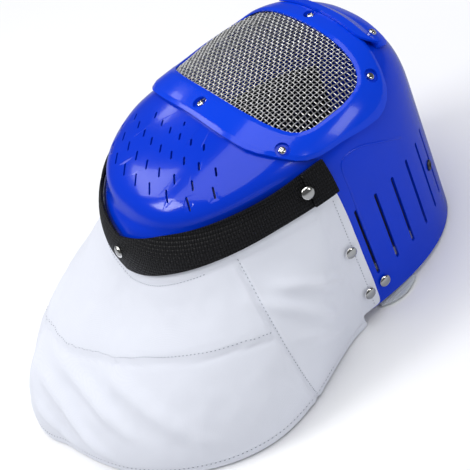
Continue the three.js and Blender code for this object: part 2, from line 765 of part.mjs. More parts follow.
function buildBib() {
  const steps = [];
  const half = 22;
  for (let j = 0; j <= half; j++) steps.push(j / half);
  const face = (w) => {
    const near = steps.map((t) => bibLine(t, w, 1));
    const far = steps.slice(1).reverse().map((t) => bibLine(t, w, -1).map((p) => new THREE.Vector3(-p.x, p.y, p.z)));
    return [...far, ...near];
  };
  const body = plate(face(SEAT + BIB_THICK), face(SEAT));
  const names = ["rivet_chin", "rivet_web", "rivet_bib"];
  const cutters = fasteners()
    .filter((f) => names.some((n) => f.name.startsWith(n)))
    .map((f) => rod(f.hole, -4, 12, f.at, 8));
  return cut(body, cutters);
}

// Elastic behind the head: from a rivet on one side wall, round behind the rim's plane, to the other.
function buildStrap() {
  const wallX = HALF_WIDTH - WALL - 2.9;
  // Down the wall's inner side, out under the rim in a soft fold, then back and across behind the head.
  const half = [
    { x: wallX, z: 26, soft: 0 },
    { x: wallX, z: 14, soft: 0 },
    { x: wallX, z: 2.6, soft: 0 },
    { x: wallX + 0.4, z: -3, soft: 0 },
    { x: wallX + 6.5, z: -3.3, soft: 1 },
    { x: wallX + 10, z: -4.8, soft: 1 },
    { x: wallX + 6.5, z: -7, soft: 1 },
    { x: wallX - 6, z: -7.2, soft: 0 },
    { x: wallX - 50, z: -7.2, soft: 0 },
    { x: 0, z: -7.2, soft: 0 },
  ];
  const far = half.slice(0, -1).reverse().map((p) => ({ ...p, x: -p.x }));
  const line = [...half, ...far];
  const widths = [0, 0.25, 0.5, 0.75, 1];
  const rows = line.map((p, i) => {
    const before = line[Math.max(0, i - 1)];
    const after = line[Math.min(line.length - 1, i + 1)];
    const run = new THREE.Vector2(after.x - before.x, after.z - before.z).normalize();
    const at = (share, depth) => {
      const y = STRAP_LOW_Y + STRAP_WIDTH * share;
      const bulge = p.soft * Math.sign(p.x) * STRAP_BULGE * (Math.sin(Math.PI * share) - 0.6);
      const sink = p.z > 0 ? 0 : REST_SLOPE * (y - STRAP_LOW_Y - 1);
      return new THREE.Vector3(p.x + bulge + run.y * depth, y, p.z + sink - run.x * depth);
    };
    return [
      ...widths.map((share) => at(share, 0)),
      ...widths.slice().reverse().map((share) => at(share, STRAP_THICK)),
    ];
  });
  const cutters = fasteners()
    .filter((f) => f.name.startsWith("rivet_strap"))
    .map((f) => rod(f.hole, -12, 4, f.at, 8));
  return cut(loft(rows, false), cutters);
}

// ---- assembly -------------------------------------------------------------------------------------------------
const plastic = (color, roughness) => new THREE.MeshStandardMaterial({ color, roughness, metalness: 0 });
const metal = (color, roughness) => new THREE.MeshStandardMaterial({ color, roughness, metalness: 1 });

const mask = new THREE.Group();
function add(name, solid, material) {
  const mesh = new THREE.Mesh(geometryFrom(solid), material);
  mesh.name = name;
  mask.add(mesh);
}

add("helmet_shell", buildShell(), plastic(0x0a3fd0, 0.25));
add("window_bezel", buildBezel(), plastic(0x1a50ea, 0.25));
add("face_mesh", buildMesh(), metal(0xb9bcc0, 0.35));
add("crown_plate", buildCrownPlate(), plastic(0x1245dc, 0.25));
add("chin_webbing", buildWebbing(), plastic(0x0c0c0f, 0.8));
add("bib", buildBib(), plastic(0xe2e6f0, 0.9));
add("back_strap", buildStrap(), plastic(0xd9dbe0, 0.9));
for (const f of fasteners()) {
  if (f.kind === "screw") add(f.name, buildScrew(f), metal(0xc8c8c8, 0.3));
  if (f.kind === "rivet") add(f.name, buildRivet(f), metal(0xd0cfcb, 0.2));
  if (f.kind === "eyelet") add(f.name, buildEyelet(f), metal(0x3a3b3e, 0.4));
}

// Tip the mask so that its crown rim and the bib's hem share the floor, and centre it over the origin.
mask.rotation.x = -TILT;
const root = new THREE.Group();
root.add(mask);
root.updateMatrixWorld(true);
const bounds = new THREE.Box3().setFromObject(root, true);
mask.position.set(0, -(bounds.min.y + bounds.max.y) / 2, -bounds.min.z);

export default root;
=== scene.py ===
"""Fencing mask: its visible pieces, finishes, light and camera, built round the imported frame."""

import json
import logging
import math
from dataclasses import dataclass, field
from enum import Enum
from typing import Callable, Dict, Iterable, List, Optional, Sequence, Tuple

import bmesh
import bpy
from mathutils import Matrix, Vector, noise
from mathutils.bvhtree import BVHTree

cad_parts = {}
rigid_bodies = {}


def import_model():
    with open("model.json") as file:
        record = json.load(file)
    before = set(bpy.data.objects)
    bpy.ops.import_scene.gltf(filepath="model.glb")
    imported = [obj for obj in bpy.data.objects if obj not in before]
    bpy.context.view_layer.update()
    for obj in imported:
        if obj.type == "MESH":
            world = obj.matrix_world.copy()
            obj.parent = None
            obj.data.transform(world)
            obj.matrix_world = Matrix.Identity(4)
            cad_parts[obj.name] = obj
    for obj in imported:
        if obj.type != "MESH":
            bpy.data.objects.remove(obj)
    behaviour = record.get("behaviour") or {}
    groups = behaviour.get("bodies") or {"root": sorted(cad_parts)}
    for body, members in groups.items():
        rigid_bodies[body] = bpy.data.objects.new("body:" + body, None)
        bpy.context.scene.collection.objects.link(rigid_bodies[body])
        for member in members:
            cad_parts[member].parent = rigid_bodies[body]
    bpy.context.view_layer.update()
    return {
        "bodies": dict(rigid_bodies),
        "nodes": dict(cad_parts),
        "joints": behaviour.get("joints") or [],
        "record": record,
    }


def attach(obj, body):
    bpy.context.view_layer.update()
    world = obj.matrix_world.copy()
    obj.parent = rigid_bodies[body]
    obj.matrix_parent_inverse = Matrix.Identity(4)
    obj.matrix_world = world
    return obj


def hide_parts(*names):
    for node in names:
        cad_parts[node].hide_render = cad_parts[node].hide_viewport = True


LOG = logging.getLogger("fencing_mask")
MM = 0.001
BODY = "root"
CAP_RADIUS = 5.0  # a rivet's cap, in millimetres
CAP_HEIGHT = 2.0
HEAD_RADIUS = 3.1  # a screw's head
HEAD_HEIGHT = 1.95
Colour = Tuple[float, float, float, float]


def smoothstep(value: float, low: float, high: float) -> float:
    """Eases a value from 0 at low to 1 at high.

    Args:
        value: The number to place between the limits.
        low: Where the result starts to leave 0.
        high: Where the result reaches 1.

    Returns:
        A number from 0 to 1.
    """
    share = min(1.0, max(0.0, (value - low) / (high - low)))
    return share * share * (3.0 - 2.0 * share)


def bell(distance: float, width: float) -> float:
    """Returns 1 at no distance, falling off smoothly over the width."""
    return math.exp(-((distance / width) ** 2))


class Side(Enum):
    """The wearer's two sides."""

    LEFT = 1
    RIGHT = -1


# ---- the mask's own surface -----------------------------------------------------------------------------------


@dataclass(frozen=True)
class MaskSurface:
    """The moulded outer surface that every hard piece follows, in millimetres in the mask's own frame.

    X runs to the wearer's left, Y to the crown and Z out of the face, with the open back at 0.
    """

    half_width: float = 100.0
    crown: float = 125.0
    chin: float = 138.0
    section_power: float = 2.47
    dome_power: float = 2.96
    tube_height: float = 103.0
    tube_lean: float = 0.13
    dome_depth: float = 79.0
    chin_swell: float = 0.1
    rim_tuck: float = 0.036
    tilt: float = math.atan(0.06)
    shift_y: float = 62.55415
    shift_z: float = 7.66619

    def placed(self, point: Vector) -> Vector:
        """Moves a point from the mask's frame, in millimetres, to the row's frame, in metres."""
        c, s = math.cos(self.tilt), math.sin(self.tilt)
        y = point.y * c + point.z * s + self.shift_y
        z = -point.y * s + point.z * c + self.shift_z
        return Vector((point.x, y, z)) * MM

    def unplaced(self, point: Vector) -> Vector:
        """Moves a point from the row's frame, in metres, to the mask's frame, in millimetres."""
        c, s = math.cos(self.tilt), math.sin(self.tilt)
        y, z = point.y / MM - self.shift_y, point.z / MM - self.shift_z
        return Vector((point.x / MM, y * c - z * s, y * s + z * c))

    def turned(self, direction: Vector) -> Vector:
        """Turns a direction from the mask's frame into the row's frame."""
        c, s = math.cos(self.tilt), math.sin(self.tilt)
        return Vector((direction.x, direction.y * c + direction.z * s, -direction.y * s + direction.z * c))

    def reach(self, x: float, y: float) -> float:
        """How far round the section a place in plan lies, 1 on the wall."""
        spread = self.crown if y > 0 else self.chin
        total = abs(x / self.half_width) ** self.section_power + abs(y / spread) ** self.section_power
        return total ** (1.0 / self.section_power)

    def swell(self, y: float, z: float) -> float:
        """The section's growth where the chin dome swells out above its rim."""
        above = self.chin_swell * smoothstep(z, 138.0, 164.0)
        below = self.rim_tuck * (1.0 - smoothstep(z, 138.0, 160.0))
        return 1.0 + smoothstep(-y, 0.0, 55.0) * (above - below)

    def value(self, p: Vector) -> float:
        """Below 0 inside the surface, above 0 outside it."""
        across = self.reach(p.x, p.y) / self.swell(p.y, p.z)
        forward = max(0.0, (p.z - self.tube_height - self.tube_lean * p.y) / self.dome_depth)
        return (across**self.dome_power + forward**self.dome_power) ** (1.0 / self.dome_power) - 1.0

    def gradient(self, p: Vector) -> Vector:
        """The outward gradient of the value at a point."""
        h = 0.05
        parts = []
        for axis in range(3):
            step = Vector((0.0, 0.0, 0.0))
            step[axis] = h
            parts.append((self.value(p + step) - self.value(p - step)) / (2.0 * h))
        return Vector(parts)

    def outward(self, p: Vector) -> Vector:
        """The outward unit normal at a point."""
        return self.gradient(p).normalized()

    def height(self, p: Vector) -> float:
        """The distance outside the surface, below 0 inside."""
        return self.value(p) / max(1e-9, self.gradient(p).length)

    def side_at(self, y: float, z: float, side: Side) -> Vector:
        """The point of the side wall at a height over the chin line and a distance from the back."""
        low, high = 10.0, 140.0
        for _ in range(30):
            middle = 0.5 * (low + high)
            if self.value(Vector((middle, y, z))) > 0.0:
                high = middle
            else:
                low = middle
        return Vector((side.value * 0.5 * (low + high), y, z))


SURFACE = MaskSurface()


# ---- mesh helpers ---------------------------------------------------------------------------------------------


@dataclass
class Workshop:
    """Turns finished bmeshes into placed pieces of the object."""

    pieces: List[bpy.types.Object] = field(default_factory=list)

    def finish(
        self,
        name: str,
        bm: bmesh.types.BMesh,
        material: bpy.types.Material,
        slot: str,
        smooth: bool = True,
    ) -> bpy.types.Object:
        """Makes one piece from a bmesh, rides it on the body and gives it its finish.

        Args:
            name: The piece's name.
            bm: The shape, in metres in the row's frame. It is freed.
            material: The piece's finish.
            slot: The record's material slot that the finish stands for; it is not used.
            smooth: Whether its faces are shaded smooth.

        Returns:
            The new object.
        """
        mesh = bpy.data.meshes.new(name)
        for face in bm.faces:
            face.smooth = smooth
        bm.to_mesh(mesh)
        bm.free()
        obj = bpy.data.objects.new(name, mesh)
        bpy.context.scene.collection.objects.link(obj)
        obj.data.materials.append(material)
        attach(obj, BODY)
        self.pieces.append(obj)
        LOG.info("%s: %d faces", name, len(mesh.polygons))
        return obj

    @staticmethod
    def merged(node: bpy.types.Object) -> bmesh.types.BMesh:
        """Returns a copy of a node's mesh with its loose triangles joined."""
        bm = bmesh.new()
        bm.from_mesh(node.data)
        bmesh.ops.remove_doubles(bm, verts=bm.verts[:], dist=2e-6)
        return bm

    @staticmethod
    def baked(obj: bpy.types.Object) -> None:
        """Applies an object's modifiers to its mesh."""
        graph = bpy.context.evaluated_depsgraph_get()
        made = bpy.data.meshes.new_from_object(obj.evaluated_get(graph))
        obj.modifiers.clear()
        old = obj.data
        obj.data = made
        bpy.data.meshes.remove(old)


@dataclass
class TrueRefiner:
    """Divides a faceted piece and puts each new corner back on the mask's real curve."""

    longest: float = 5.0
    passes: int = 4
    sharp_degrees: float = 34.0
    parallel_degrees: float = 9.0

    def divide(self, bm: bmesh.types.BMesh) -> None:
        """Splits long edges, keeping every corner at its own height over the surface.

        Args:
            bm: The piece's shape, in metres in the row's frame.
        """
        layer = bm.verts.layers.float.new("height")
        for vert in bm.verts:
            vert[layer] = SURFACE.height(SURFACE.unplaced(vert.co))
        for _ in range(self.passes):
            long = [e for e in bm.edges if e.calc_length() > self.longest * MM]
            if not long:
                break
            old = set(bm.verts)
            bmesh.ops.subdivide_edges(bm, edges=long, cuts=1, use_grid_fill=True)
            bmesh.ops.triangulate(bm, faces=[f for f in bm.faces if len(f.verts) > 3])
            for vert in bm.verts:
                if vert not in old:
                    self.settle(vert, vert[layer])
        bm.verts.layers.float.remove(layer)

    @staticmethod
    def settle(vert: bmesh.types.BMVert, height: float) -> None:
        """Moves one corner along the surface's normal to its height."""
        p = SURFACE.unplaced(vert.co)
        for _ in range(2):
            off = height - SURFACE.height(p)
            if abs(off) > 2.5:
                return
            p = p + SURFACE.outward(p) * off
        vert.co = SURFACE.placed(p)

    def shade(self, mesh: bpy.types.Mesh) -> None:
        """Gives faces that follow the surface its exact normals, and leaves the rest to their own.

        Args:
            mesh: The piece's final mesh.
        """
        sharp = math.cos(math.radians(self.sharp_degrees))
        parallel = math.cos(math.radians(self.parallel_degrees))
        bm = bmesh.new()
        bm.from_mesh(mesh)
        for edge in bm.edges:
            pair = edge.link_faces
            edge.smooth = len(pair) == 2 and pair[0].normal.dot(pair[1].normal) > sharp
        bm.to_mesh(mesh)
        bm.free()
        cache: Dict[int, Vector] = {}
        normals: List[Tuple[float, float, float]] = [(0.0, 0.0, 0.0)] * len(mesh.loops)
        for poly in mesh.polygons:
            middle = SURFACE.turned(SURFACE.outward(SURFACE.unplaced(poly.center)))
            agree = middle.dot(poly.normal)
            if abs(agree) < parallel:
                continue
            for loop_index in poly.loop_indices:
                index = mesh.loops[loop_index].vertex_index
                if index not in cache:
                    place = SURFACE.unplaced(mesh.vertices[index].co)
                    cache[index] = SURFACE.turned(SURFACE.outward(place))
                normal = cache[index] if agree > 0 else -cache[index]
                normals[loop_index] = normal.to_tuple()
        mesh.normals_split_custom_set(normals)


# ---- finishes -------------------------------------------------------------------------------------------------


class NodeKit:
    """Short ways to add and join shader nodes in one tree."""

    def __init__(self, tree: bpy.types.NodeTree) -> None:
        """Holds the tree that the nodes go into."""
        self.tree = tree

    def add(self, kind: str, **settings: object) -> bpy.types.Node:
        """Adds a node and sets its properties."""
        node = self.tree.nodes.new(kind)
        for key, value in settings.items():
            setattr(node, key, value)
        return node

    def join(self, source: bpy.types.NodeSocket, target: bpy.types.NodeSocket) -> None:
        """Links two sockets."""
        self.tree.links.new(source, target)

    def math(self, operation: str, first: object, second: object = 0.0) -> bpy.types.NodeSocket:
        """Adds a math node on sockets or numbers and returns its result."""
        node = self.add("ShaderNodeMath", operation=operation)
        for index, item in enumerate((first, second)):
            if isinstance(item, bpy.types.NodeSocket):
                self.join(item, node.inputs[index])
            else:
                node.inputs[index].default_value = float(item)
        return node.outputs[0]


class SharedEffects:
    """The shader node groups that more than one finish uses."""

    def __init__(self) -> None:
        """Builds each group once."""
        self.mottle = self._mottle()
        self.grain = self._grain()
        self.weave = self._weave()

    @staticmethod
    def _group(name: str, inputs: Iterable[Tuple[str, str]], outputs: Iterable[Tuple[str, str]]) -> Tuple:
        """Starts a group with named sockets and returns it with its kit and ends."""
        tree = bpy.data.node_groups.new(name, "ShaderNodeTree")
        for label, kind in inputs:
            tree.interface.new_socket(label, in_out="INPUT", socket_type=kind)
        for label, kind in outputs:
            tree.interface.new_socket(label, in_out="OUTPUT", socket_type=kind)
        kit = NodeKit(tree)
        return tree, kit, kit.add("NodeGroupInput"), kit.add("NodeGroupOutput")

    def _mottle(self) -> bpy.types.NodeTree:
        """Slow colour variation between two colours."""
        tree, kit, start, end = self._group(
            "slow_mottle",
            [
                ("Light", "NodeSocketColor"),
                ("Dark", "NodeSocketColor"),
                ("Scale", "NodeSocketFloat"),
            ],
            [("Colour", "NodeSocketColor"), ("Mask", "NodeSocketFloat")],
        )
        place = kit.add("ShaderNodeTexCoord")
        cloud = kit.add("ShaderNodeTexNoise")
        cloud.inputs["Detail"].default_value = 3.0
        kit.join(place.outputs["Object"], cloud.inputs["Vector"])
        kit.join(start.outputs["Scale"], cloud.inputs["Scale"])
        mix = kit.add("ShaderNodeMix", data_type="RGBA")
        kit.join(cloud.outputs["Fac"], mix.inputs["Factor"])
        kit.join(start.outputs["Light"], mix.inputs[6])
        kit.join(start.outputs["Dark"], mix.inputs[7])
        kit.join(mix.outputs[2], end.inputs["Colour"])
        kit.join(cloud.outputs["Fac"], end.inputs["Mask"])
        return tree

    def _grain(self) -> bpy.types.NodeTree:
        """Fine moulded or brushed grain: a height and a roughness that varies a little."""
        tree, kit, start, end = self._group(
            "fine_grain",
            [("Scale", "NodeSocketFloat"), ("Rough Low", "NodeSocketFloat"), ("Rough High", "NodeSocketFloat")],
            [("Height", "NodeSocketFloat"), ("Roughness", "NodeSocketFloat")],
        )
        place = kit.add("ShaderNodeTexCoord")
        speck = kit.add("ShaderNodeTexNoise")
        speck.inputs["Detail"].default_value = 4.0
        kit.join(place.outputs["Object"], speck.inputs["Vector"])
        kit.join(start.outputs["Scale"], speck.inputs["Scale"])
        spread = kit.add("ShaderNodeMapRange")
        kit.join(speck.outputs["Fac"], spread.inputs["Value"])
        kit.join(start.outputs["Rough Low"], spread.inputs["To Min"])
        kit.join(start.outputs["Rough High"], spread.inputs["To Max"])
        kit.join(speck.outputs["Fac"], end.inputs["Height"])
        kit.join(spread.outputs[0], end.inputs["Roughness"])
        return tree

    def _weave(self) -> bpy.types.NodeTree:
        """Crossing threads from two lengths in millimetres: a height and a mask of the gaps between threads, where
        painted shade goes.
        """
        tree, kit, start, end = self._group(
            "crossing_threads",
            [
                ("Along", "NodeSocketFloat"),
                ("Across", "NodeSocketFloat"),
                ("Along Pitch", "NodeSocketFloat"),
                ("Across Pitch", "NodeSocketFloat"),
            ],
            [("Height", "NodeSocketFloat"), ("Gap", "NodeSocketFloat")],
        )
        turns = [kit.math("DIVIDE", start.outputs[way], start.outputs[way + " Pitch"]) for way in ("Along", "Across")]
        warp, weft = (kit.math("MULTIPLY", turn, math.pi) for turn in turns)
        warp_hump = kit.math("ABSOLUTE", kit.math("SINE", warp))
        weft_hump = kit.math("ABSOLUTE", kit.math("SINE", weft))
        turn = kit.math("MULTIPLY", kit.math("SINE", warp), kit.math("SINE", weft))
        over = kit.math("GREATER_THAN", turn, 0.0)
        first = kit.math("MULTIPLY", warp_hump, over)
        second = kit.math("MULTIPLY", weft_hump, kit.math("SUBTRACT", 1.0, over))
        top = kit.math("ADD", first, second)
        low = kit.math("MULTIPLY", warp_hump, weft_hump)
        height = kit.math("ADD", kit.math("MULTIPLY", top, 0.45), kit.math("MULTIPLY", low, 0.55))
        gap = kit.math("SUBTRACT", 1.0, kit.math("POWER", low, 0.5))
        kit.join(height, end.inputs["Height"])
        kit.join(gap, end.inputs["Gap"])
        return tree


def wire_hard_finish(
    kit: NodeKit,
    finish: "PlasticFinish | MetalFinish",
    effects: SharedEffects,
    mottle_scale: float,
    grain_scale: float,
    relief: Tuple[float, float],
) -> None:
    """Wires colour, roughness and fine relief, which plastic and metal share, to the shader.

    Args:
        kit: The material's nodes.
        finish: Gives the two colours and the two roughnesses.
        effects: The shared node groups.
        mottle_scale: The scale of the colour's slow change.
        grain_scale: The scale of the grain.
        relief: The bump's strength and its distance in metres.
    """
    shader = kit.tree.nodes["Principled BSDF"]
    mottle = kit.add("ShaderNodeGroup", node_tree=effects.mottle)
    grain = kit.add("ShaderNodeGroup", node_tree=effects.grain)
    for node, values in (
        (mottle, {"Light": finish.light, "Dark": finish.dark, "Scale": mottle_scale}),
        (grain, {"Scale": grain_scale, "Rough Low": finish.rough_low, "Rough High": finish.rough_high}),
    ):
        for socket, value in values.items():
            node.inputs[socket].default_value = value
    bump = kit.add("ShaderNodeBump")
    bump.inputs["Strength"].default_value, bump.inputs["Distance"].default_value = relief
    kit.join(grain.outputs["Height"], bump.inputs["Height"])
    kit.join(mottle.outputs["Colour"], shader.inputs["Base Color"])
    kit.join(grain.outputs["Roughness"], shader.inputs["Roughness"])
    kit.join(bump.outputs["Normal"], shader.inputs["Normal"])


@dataclass(frozen=True)
class PlasticFinish:
    """Glossy moulded plastic."""

    name: str
    light: Colour
    dark: Colour
    rough_low: float = 0.13
    rough_high: float = 0.2
    coat: float = 0.25
    specular: float = 0.26

    def build(self, effects: SharedEffects) -> bpy.types.Material:
        """Builds the material from the shared effects."""
        material = bpy.data.materials.new(self.name)
        material.use_nodes = True
        kit = NodeKit(material.node_tree)
        shader = material.node_tree.nodes["Principled BSDF"]
        shader.inputs["Coat Weight"].default_value = self.coat
        shader.inputs["Coat Roughness"].default_value = 0.035
        shader.inputs["IOR"].default_value = 1.5
        shader.inputs["Specular IOR Level"].default_value = self.specular
        wire_hard_finish(kit, self, effects, 14.0, 90.0, (0.04, 0.0004))
        return material


@dataclass(frozen=True)
class MetalFinish:
    """Polished, drawn or darkened metal."""

    name: str
    light: Colour
    dark: Colour
    rough_low: float
    rough_high: float
    scale: float = 260.0

    def build(self, effects: SharedEffects) -> bpy.types.Material:
        """Builds the material from the shared effects."""
        material = bpy.data.materials.new(self.name)
        material.use_nodes = True
        kit = NodeKit(material.node_tree)
        shader = material.node_tree.nodes["Principled BSDF"]
        shader.inputs["Metallic"].default_value = 1.0
        wire_hard_finish(kit, self, effects, 180.0, self.scale, (0.08, 0.0002))
        return material


@dataclass(frozen=True)
class ClothFinish:
    """Woven cloth, webbing or elastic whose threads follow the piece's own two lengths, with painted shade darkening
    the gaps between threads.
    """

    name: str
    light: Colour
    dark: Colour
    # The darker colour painted into the gaps between threads as shade.
    gap: Colour
    along_pitch: float
    across_pitch: float
    depth: float
    roughness: float = 0.85
    gap_shade_strength: float = 0.5
    sheen: float = 0.25
    fuzz: float = 0.0
    specular: float = 0.3

    def build(self, effects: SharedEffects) -> bpy.types.Material:
        """Builds the material from the shared effects and the piece's "threads" attribute."""
        material = bpy.data.materials.new(self.name)
        material.use_nodes = True
        kit = NodeKit(material.node_tree)
        shader = material.node_tree.nodes["Principled BSDF"]
        shader.inputs["Sheen Weight"].default_value = self.sheen
        shader.inputs["Sheen Roughness"].default_value = 0.5
        shader.inputs["Specular IOR Level"].default_value = self.specular
        threads = kit.add("ShaderNodeAttribute", attribute_name="threads")
        parts = kit.add("ShaderNodeSeparateXYZ")
        kit.join(threads.outputs["Vector"], parts.inputs[0])
        weave = kit.add("ShaderNodeGroup", node_tree=effects.weave)
        kit.join(parts.outputs["X"], weave.inputs["Along"])
        kit.join(parts.outputs["Y"], weave.inputs["Across"])
        weave.inputs["Along Pitch"].default_value = self.along_pitch
        weave.inputs["Across Pitch"].default_value = self.across_pitch
        mottle = kit.add("ShaderNodeGroup", node_tree=effects.mottle)
        mottle.inputs["Light"].default_value = self.light
        mottle.inputs["Dark"].default_value = self.dark
        mottle.inputs["Scale"].default_value = 22.0
        # Painted shade: the gap colour darkens the hollows between threads.
        mix = kit.add("ShaderNodeMix", data_type="RGBA")
        kit.join(kit.math("MULTIPLY", weave.outputs["Gap"], self.gap_shade_strength), mix.inputs["Factor"])
        kit.join(mottle.outputs["Colour"], mix.inputs[6])
        mix.inputs[7].default_value = self.gap
        grain = kit.add("ShaderNodeGroup", node_tree=effects.grain)
        grain.inputs["Scale"].default_value = 320.0
        grain.inputs["Rough Low"].default_value = self.roughness - 0.06
        grain.inputs["Rough High"].default_value = self.roughness + 0.08
        height = kit.math("ADD", weave.outputs["Height"], kit.math("MULTIPLY", grain.outputs["Height"], self.fuzz))
        bump = kit.add("ShaderNodeBump")
        bump.inputs["Strength"].default_value = 0.6
        bump.inputs["Distance"].default_value = self.depth * MM
        kit.join(height, bump.inputs["Height"])
        kit.join(mix.outputs[2], shader.inputs["Base Color"])
        kit.join(grain.outputs["Roughness"], shader.inputs["Roughness"])
        kit.join(bump.outputs["Normal"], shader.inputs["Normal"])
        return material


@dataclass
class Finishes:
    """Every finish on the mask."""

    shell: bpy.types.Material
    frame: bpy.types.Material
    wire: bpy.types.Material
    webbing: bpy.types.Material
    lining: bpy.types.Material
    bib: bpy.types.Material
    thread: bpy.types.Material
    strap: bpy.types.Material
    nickel: bpy.types.Material
    dark_metal: bpy.types.Material

    @classmethod
    def make(cls) -> "Finishes":
        """Builds all of them."""
        fx = SharedEffects()
        return cls(
            shell=PlasticFinish("moulded_blue", (0.0008, 0.042, 0.68, 1), (0.0005, 0.032, 0.54, 1)).build(fx),
            frame=PlasticFinish("bright_blue", (0.0012, 0.055, 0.78, 1), (0.0008, 0.045, 0.66, 1)).build(fx),
            wire=MetalFinish("drawn_wire", (0.74, 0.74, 0.73, 1), (0.6, 0.6, 0.6, 1), 0.2, 0.38).build(fx),
            webbing=ClothFinish(
                "black_webbing",
                (0.016, 0.016, 0.019, 1),
                (0.009, 0.009, 0.011, 1),
                # Painted shade between the webbing's threads.
                (0.0002, 0.0002, 0.0003, 1),
                1.8,
                2.7,
                1.6,
                0.5,
                1.0,
                0.0,
                0.0,
                0.22,
            ).build(fx),
            # Near-black sheet colour: painted shade for the dark inside seen through the louvres.
            lining=ClothFinish(
                "dark_lining",
                (0.006, 0.007, 0.014, 1),
                (0.004, 0.005, 0.01, 1),
                # Painted shade between the sheet's threads.
                (0.001, 0.001, 0.002, 1),
                0.9,
                0.9,
                0.15,
                0.9,
            ).build(fx),
            bib=ClothFinish(
                "white_drill",
                (0.77, 0.79, 0.865, 1),
                (0.735, 0.757, 0.837, 1),
                # Painted shade between the drill's threads.
                (0.63, 0.66, 0.74, 1),
                0.62,
                0.62,
                0.1,
                0.88,
                0.25,
                0.15,
                0.3,
            ).build(fx),
            # The stitch thread is white-grey; its darker grey here is painted shade for the small shadow pits at each
            # stitch.
            thread=MetalFinish("stitch_thread_painted_shade", (0.5, 0.53, 0.6, 1), (0.42, 0.45, 0.52, 1), 0.7, 0.9).build(fx),
            strap=ClothFinish(
                "pale_elastic",
                (0.62, 0.65, 0.68, 1),
                (0.52, 0.55, 0.58, 1),
                # Painted shade between the elastic's threads.
                (0.3, 0.33, 0.35, 1),
                1.2,
                1.8,
                0.35,
                0.8,
                0.5,
            ).build(fx),
            nickel=MetalFinish("polished_nickel", (0.97, 0.96, 0.93, 1), (0.9, 0.89, 0.86, 1), 0.1, 0.2).build(fx),
            dark_metal=MetalFinish("dark_eyelet", (0.16, 0.16, 0.17, 1), (0.1, 0.1, 0.11, 1), 0.25, 0.4).build(fx),
        )


# ---- hard pieces ----------------------------------------------------------------------------------------------


@dataclass
class Moulding:
    """One moulded plastic piece: its node's form divided finely on the mask's true curve."""

    node: str
    finish: bpy.types.Material
    slot: str
    refiner: TrueRefiner = field(default_factory=TrueRefiner)

    def build(self, frame: Dict, shop: Workshop) -> bpy.types.Object:
        """Makes the piece and hides its node.

        Args:
            frame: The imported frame.
            shop: Where pieces are finished.

        Returns:
            The new piece.
        """
        bm = shop.merged(frame["nodes"][self.node])
        self.refiner.divide(bm)
        obj = shop.finish(self.node + "_moulding", bm, self.finish, self.slot)
        self.refiner.shade(obj.data)
        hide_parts(self.node)
        return obj


@dataclass
class PanelBead:
    """The low raised line that frames a side panel's louvres."""

    side: Side
    radius: float = 1.1
    proud: float = 0.5
    step: float = 2.0
    outline: Tuple[Tuple[float, float], ...] = (
        (12.5, 60.0),
        (12.5, 110.0),
        (12.8, 128.0),
        (16.0, 136.0),
        (24.0, 137.8),
        (34.0, 136.4),
        (46.0, 130.0),
        (60.0, 121.0),
        (72.0, 112.5),
    )

    def points(self) -> List[Vector]:
        """The bead's line on the wall, a point every few millimetres."""
        flat = [Vector((y, z, 0.0)) for y, z in self.outline]
        curve: List[Vector] = []
        for i in range(len(flat) - 1):
            before = flat[max(0, i - 1)]
            after = flat[min(len(flat) - 1, i + 2)]
            count = max(2, int((flat[i + 1] - flat[i]).length / self.step))
            for k in range(count):
                t = k / count
                a = (flat[i + 1] - before) * 0.5
                b = (after - flat[i]) * 0.5
                blend = (
                    flat[i] * (2 * t**3 - 3 * t**2 + 1)
                    + a * (t**3 - 2 * t**2 + t)
                    + flat[i + 1] * (-2 * t**3 + 3 * t**2)
                    + b * (t**3 - t**2)
                )
                curve.append(blend)
        curve.append(flat[-1])
        return [SURFACE.side_at(p.x, p.y, self.side) for p in curve]

    def build(self, finishes: Finishes, shop: Workshop) -> bpy.types.Object:
        """Makes the bead as a round bar sunk in the wall."""
        line = self.points()
        sink = self.proud - self.radius
        path = [SURFACE.placed(p + SURFACE.outward(p) * sink) for p in line]
        bm = bmesh.new()
        sweep(bm, path, [self.radius * MM] * len(path), 8)
        name = "panel_bead_" + self.side.name.lower()
        return shop.finish(name, bm, finishes.shell, "shell_plastic")


def sweep(bm: bmesh.types.BMesh, path: Sequence[Vector], radii: Sequence[float], sides: int) -> None:
    """Sweeps a ring along a path, extruding it from point to point, and closes both ends.

    Args:
        bm: The mesh that gets the bar.
        path: The points the bar's middle goes through, in metres.
        radii: The bar's radius at each point.
        sides: How many sides the ring has.
    """
    facing = (path[1] - path[0]).normalized()
    turn = Vector((0.0, 0.0, 1.0)).rotation_difference(facing)
    place = Matrix.Translation(path[0]) @ turn.to_matrix().to_4x4()
    made = bmesh.ops.create_circle(bm, cap_ends=True, segments=sides, radius=radii[0], matrix=place)
    ring = made["verts"]
    start = [f for f in bm.faces if all(v in ring for v in f.verts)]
    for face in start:
        face.normal_update()
        if face.normal.dot(facing) > 0:
            face.normal_flip()
    edges = list({e for v in ring for e in v.link_edges if all(w in ring for w in e.verts)})
    for i in range(1, len(path)):
        grown = bmesh.ops.extrude_edge_only(bm, edges=edges)
        verts = [g for g in grown["geom"] if isinstance(g, bmesh.types.BMVert)]
        edges = [g for g in grown["geom"] if isinstance(g, bmesh.types.BMEdge)]
        nearby = path[min(i + 1, len(path) - 1)] - path[i - 1]
        turned = facing.rotation_difference(nearby.normalized())
        size = radii[i] / radii[i - 1]
        move = (
            Matrix.Translation(path[i])
            @ turned.to_matrix().to_4x4()
            @ Matrix.Scale(size, 4)
            @ Matrix.Translation(-path[i - 1])
        )
        bmesh.ops.transform(bm, matrix=move, verts=verts)
        facing = nearby.normalized()
    bmesh.ops.contextual_create(bm, geom=edges)
    bmesh.ops.recalc_face_normals(bm, faces=bm.faces[:])


